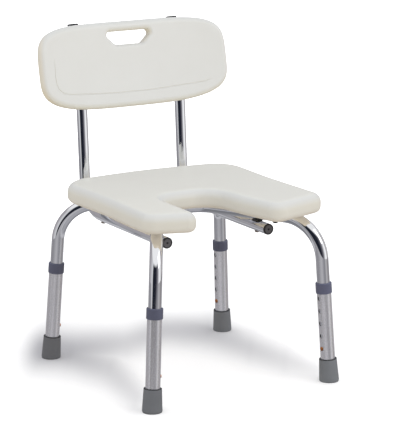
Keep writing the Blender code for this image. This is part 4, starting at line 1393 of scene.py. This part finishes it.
class BATHSEAT_OT_feet(bpy.types.Operator):
    """Turn the rubber feet and cut each one level with the floor"""

    bl_idname = "bathseat.feet"
    bl_label = "Rubber feet"

    def execute(self, context):
        settings = context.scene.bath_seat_fittings
        tint = tuple(settings.foot_colour)
        finish = plastic("Foot rubber", tint, darker(tint, 0.72), 0.62, 0.00005, cloud=0.5)
        tree = finish.node_tree
        # painted light: feet toward the front right, nearest the key lamp, are made much lighter
        recoloured(finish, toward_front_right(tree, -0.4, 0.4), (1.42, 1.48, 1.48), "MULTIPLY")
        height = parts(tree, as_made_place(tree))["Z"]
        # painted shadow: the top rim of each foot, round the tube, is made near black
        lip_painted_shadow = spread(tree, height, -FOOT_TOP - 0.0014, -FOOT_TOP - 0.0009)
        recoloured(finish, lip_painted_shadow, darker(tint, 0.17))
        outside = [
            (0.0146, 0.006), (0.0152, 0.002), (0.0160, 0.0004), (0.0165, 0), (0.0172, 0.0004),
            (0.0175, 0.0014), (0.0177, 0.006), (0.0194, FOOT_HEIGHT - 0.0052),
            (0.0195, FOOT_HEIGHT - 0.0036), (0.0195, FOOT_HEIGHT - 0.0025),
            (0.0191, FOOT_HEIGHT - 0.0008), (0.0177, FOOT_HEIGHT + 0.00351),
        ]
        profile = [(0, -FOOT_BORE), (0.0146, -FOOT_BORE)]
        profile += [(radius, -FOOT_TOP - below) for radius, below in outside]
        profile.append((0, profile[-1][1]))
        foot = keep_as_made(turned("foot", profile, 72))
        for label in LEGS:
            piece = copied(foot, f"rubber_foot_{label}", leg_place(label))
            with editing(piece):
                bpy.ops.mesh.bisect(
                    plane_co=(0, 0, TINY), plane_no=(0, 0, -1), use_fill=True, clear_outer=True,
                    threshold=TINY,
                )
                point_outward()
            dress(smoothed(piece, 30), finish, f"foot_{label}")
        bpy.data.objects.remove(foot)
        return {"FINISHED"}


class BATHSEAT_OT_buttons(bpy.types.Operator):
    """Turn the domed height buttons that stand out of the legs"""

    bl_idname = "bathseat.buttons"
    bl_label = "Height buttons"

    def execute(self, context):
        settings = context.scene.bath_seat_fittings
        finish = metal_finish("Button copper", tuple(settings.button_colour), 0.28, 0.000004)
        radius, tip, dome = BUTTON
        flange, flange_top, flange_end = BUTTON_FLANGE
        profile = [(0, tip)]
        for k in range(1, 8):
            angle = k * math.pi / 16
            profile.append((radius * math.sin(angle), tip - dome + dome * math.cos(angle)))
        profile += [(radius, tip - dome - 0.0003), (radius, flange_top), (flange, flange_top)]
        profile += [(flange, flange_end), (0, flange_end)]
        button = smoothed(turned("button", profile, 48), 40)
        button.data.transform(
            Matrix.Translation((0, 0, -BUTTON_DROP)) @ facing((1, 0, 0)).to_matrix().to_4x4()
        )
        place_on_legs(button, finish, "height_button", "snap_button")
        return {"FINISHED"}


class BATHSEAT_OT_hidden_metal(bpy.types.Operator):
    """Give the inserts, washers and springs, whose shapes come from the frame, their finishes"""

    bl_idname = "bathseat.hidden_metal"
    bl_label = "Inserts, washers, springs"

    def execute(self, context):
        finishes = {
            "seat_insert": metal_finish("Insert brass", srgb(196, 158, 92), 0.35),
            "foot_washer": metal_finish("Washer steel", srgb(150, 150, 154), 0.4),
            "button_spring": metal_finish("Spring steel", srgb(140, 142, 150), 0.3),
        }
        for name, node in NODES.items():
            for prefix, finish in finishes.items():
                if name.startswith(prefix):
                    node.data.materials.clear()
                    node.data.materials.append(finish)
        return {"FINISHED"}


class BATHSEAT_OT_studio(bpy.types.Operator):
    """Lay the floor, hang the soft light and set the camera"""

    bl_idname = "bathseat.studio"
    bl_label = "Studio"

    def execute(self, context):
        settings = context.scene.bath_seat_studio
        context.scene.view_settings.view_transform = "Standard"
        self.floor(settings)
        self.world(context, settings)
        self.lamp(context, settings)
        self.camera(context)
        return {"FINISHED"}

    def floor(self, settings):
        """The seat stays put while the legs slide down, so each leg takes its quarter along."""
        finish = self.floor_finish(settings)
        size, overlap, drop = 6.0, 0.010, 0.00005  # each lies a drop below the one before it
        middle = size / 2 - overlap
        for k, (label, (side, end)) in enumerate(LEGS.items()):
            deselect()
            place = (side * middle, CHAIR_Y + end * middle, -0.0002 - k * drop)
            bpy.ops.mesh.primitive_plane_add(size=size, location=place)
            quarter = new_piece(f"studio_floor_{label}")
            quarter.visible_glossy = False
            quarter.data.materials.append(finish)
            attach(quarter, NODES[f"foot_{label}"]["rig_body"])

    def floor_finish(self, settings):
        """White to the camera, with a painted soft shadow over the lamp's own, and a warm diffuse floor
        to the chair.
        """
        made = bpy.data.materials.new("Studio floor")
        made.use_nodes = True
        tree = made.node_tree
        tree.nodes.clear()
        path = add(tree, "LightPath").outputs
        mirrored = spread(tree, path["Glossy Depth"], 0.0, 1.0)
        bright = (*(1.5 * part for part in settings.bounce_colour), 1)
        sent_up = mixed(tree, mirrored, (*settings.bounce_colour, 1), bright)
        bounce = add(tree, "BsdfDiffuse", {"Color": sent_up})
        where = object_place(tree)
        shade = maths(tree, "MULTIPLY", self.bands(tree, where), settings.shadow)
        tint = mixed(tree, shade, (1, 1, 1, 1), (0, 0, 0.04, 1))
        strength = spread(tree, vectors(tree, "LENGTH", where), 0.6, 1.8, 0.30, 1.0)
        glow = add(tree, "Emission", {"Color": tint, "Strength": strength})
        pale = mixed(tree, 1.0, tint, (0.84, 0.84, 0.85, 1), "MULTIPLY")
        pale = add(tree, "BsdfDiffuse", {"Color": pale})
        both = add(tree, "AddShader", {0: pale.outputs[0], 1: glow.outputs[0]})
        links = {0: path["Is Camera Ray"], 1: bounce.outputs[0], 2: both.outputs[0]}
        add(tree, "OutputMaterial", {"Surface": add(tree, "MixShader", links).outputs[0]})
        return made

    def bands(self, tree, where):
        """The deepest of the painted shadow bands at each place on the floor."""
        heading, height = VIEW
        slant = math.sin(height)
        across = (math.cos(heading), math.sin(heading), 0)
        down = (math.sin(heading) * slant, -math.cos(heading) * slant, 0)
        drawn = {k: vectors(tree, "DOT_PRODUCT", where, way) for k, way in enumerate((across, down))}
        where = add(tree, "CombineXYZ", drawn).outputs[0]
        deepest = 0.0
        for route in SHADOW_PATHS:
            for start, end in zip(route, route[1:]):
                band = use(
                    tree, soft_band, vector=where, from_point=(*start[:2], 0),
                    to_point=(*end[:2], 0), from_depth=start[2], to_depth=end[2],
                    from_width=start[3], to_width=end[3],
                )
                deepest = maths(tree, "SMOOTH_MAX", deepest, band, 0.06)
        return deepest

    def world(self, context, settings):
        """White to the camera, even light on the chair, and a room that only polished metal sees."""
        world = bpy.data.worlds.new("Studio sky")
        context.scene.world = world
        world.use_nodes = True
        tree = world.node_tree
        tree.nodes.clear()
        path = add(tree, "LightPath").outputs
        seen = maths(tree, "MAXIMUM", path["Is Camera Ray"], path["Is Transmission Ray"])
        white = mixed(tree, seen, (settings.sky,) * 3 + (1,), (1, 1, 1, 1))
        colour_out = mixed(tree, path["Is Glossy Ray"], white, self.room(tree))
        sky = add(tree, "Background", {"Color": colour_out, "Strength": 1.0})
        add(tree, "OutputWorld", {"Surface": sky.outputs[0]})

    def room(self, tree):
        """What polished metal sees, painted into the world: the white ceiling, the lit and dark walls,
        and the floor, shaded under the chair.
        """
        ways = parts(tree, add(tree, "TexCoord").outputs["Generated"])
        ahead = maths(tree, "MULTIPLY", ways["Y"], -1.0)
        turn = spread(tree, maths(tree, "ARCTAN2", ways["X"], ahead), -math.pi, math.pi)
        rise = ways["Z"]
        wall = mixed(
            tree, spread(tree, rise, *CEILING), self.ring(tree, turn, ROOM), (0.95, 0.95, 0.95, 1)
        )
        under = self.ring(tree, turn, UNDER_CHAIR)
        under = mixed(tree, spread(tree, rise, *SHADED), under, (*srgb(*GLARE), 1))
        floor = mixed(tree, spread(tree, rise, *STRIP), under, self.ring(tree, turn, FLOOR))
        return mixed(tree, spread(tree, rise, *HORIZON), floor, wall)

    def ring(self, tree, turn, tones):
        """Tones round the horizon, as a ramp over the share of a full turn."""
        ramp = add(tree, "ValToRGB", {0: turn})
        stops = ramp.color_ramp.elements
        while len(stops) < len(tones):
            stops.new(0.5)
        for stop, (heading, shade) in zip(stops, tones):
            stop.position = heading / 360 + 0.5
            stop.color = (*srgb(*shade), 1)
        return ramp.outputs[0]

    def lamp(self, context, settings):
        light = bpy.data.lights.new("studio_key", "AREA")
        light.shape = "SQUARE"
        light.size = 1.6
        light.energy = settings.key_power
        light.color = (1.0, 0.99, 0.97)
        lamp = bpy.data.objects.new("studio_key", light)
        context.scene.collection.objects.link(lamp)
        lamp.location = (1.3, -2.2, 2.0)
        aim = Vector((0, CHAIR_Y, 0.35)) - lamp.location
        lamp.rotation_euler = aim.to_track_quat("-Z", "Y").to_euler()

    def camera(self, context):
        heading, height = VIEW
        level = math.cos(height)
        back = Vector((math.sin(heading) * level, -math.cos(heading) * level, math.sin(height)))
        lens = bpy.data.cameras.new("studio_camera")
        lens.sensor_width = 36
        lens.lens = CAMERA_LENS
        lens.shift_x, lens.shift_y = CAMERA_SHIFT
        camera = bpy.data.objects.new("studio_camera", lens)
        context.scene.collection.objects.link(camera)
        camera.location = Vector((0, CHAIR_Y, AIM_Z)) + back * CAMERA_DISTANCE
        camera.rotation_euler = back.to_track_quat("Z", "Y").to_euler()
        context.scene.camera = camera


class BATHSEAT_PT_sidebar(bpy.types.Panel):
    """Lists the bath seat's settings and the operators that model it"""

    bl_idname = "BATHSEAT_PT_sidebar"
    bl_label = "Bath Seat"
    bl_space_type = "VIEW_3D"
    bl_region_type = "UI"
    bl_category = "Bath Seat"

    def draw(self, context):
        layout = self.layout
        for name in SETTINGS:
            group = getattr(context.scene, name)
            box = layout.box()
            for label in type(group).__annotations__:
                box.prop(group, label)
        for operator in OPERATORS:
            layout.operator(operator.bl_idname)


SETTINGS = {
    "bath_seat_mouldings": MouldingSettings,
    "bath_seat_tubes": TubeSettings,
    "bath_seat_fittings": FittingSettings,
    "bath_seat_studio": StudioSettings,
}
OPERATORS = (
    BATHSEAT_OT_seat,
    BATHSEAT_OT_backrest,
    BATHSEAT_OT_leg_tubes,
    BATHSEAT_OT_back_posts,
    BATHSEAT_OT_tube_caps,
    BATHSEAT_OT_saddles,
    BATHSEAT_OT_fasteners,
    BATHSEAT_OT_sliding_legs,
    BATHSEAT_OT_collars,
    BATHSEAT_OT_feet,
    BATHSEAT_OT_buttons,
    BATHSEAT_OT_hidden_metal,
    BATHSEAT_OT_studio,
)
CLASSES = (*SETTINGS.values(), *OPERATORS, BATHSEAT_PT_sidebar)


def register():
    for made in CLASSES:
        bpy.utils.register_class(made)
    for name, group in SETTINGS.items():
        setattr(bpy.types.Scene, name, bpy.props.PointerProperty(type=group))


def unregister():
    for name in SETTINGS:
        delattr(bpy.types.Scene, name)
    for made in reversed(CLASSES):
        bpy.utils.unregister_class(made)


def main():
    register()
    for operator in OPERATORS:
        family, name = operator.bl_idname.split(".")
        getattr(getattr(bpy.ops, family), name)()
    bpy.context.view_layer.update()


if __name__ == "__main__":
    main()
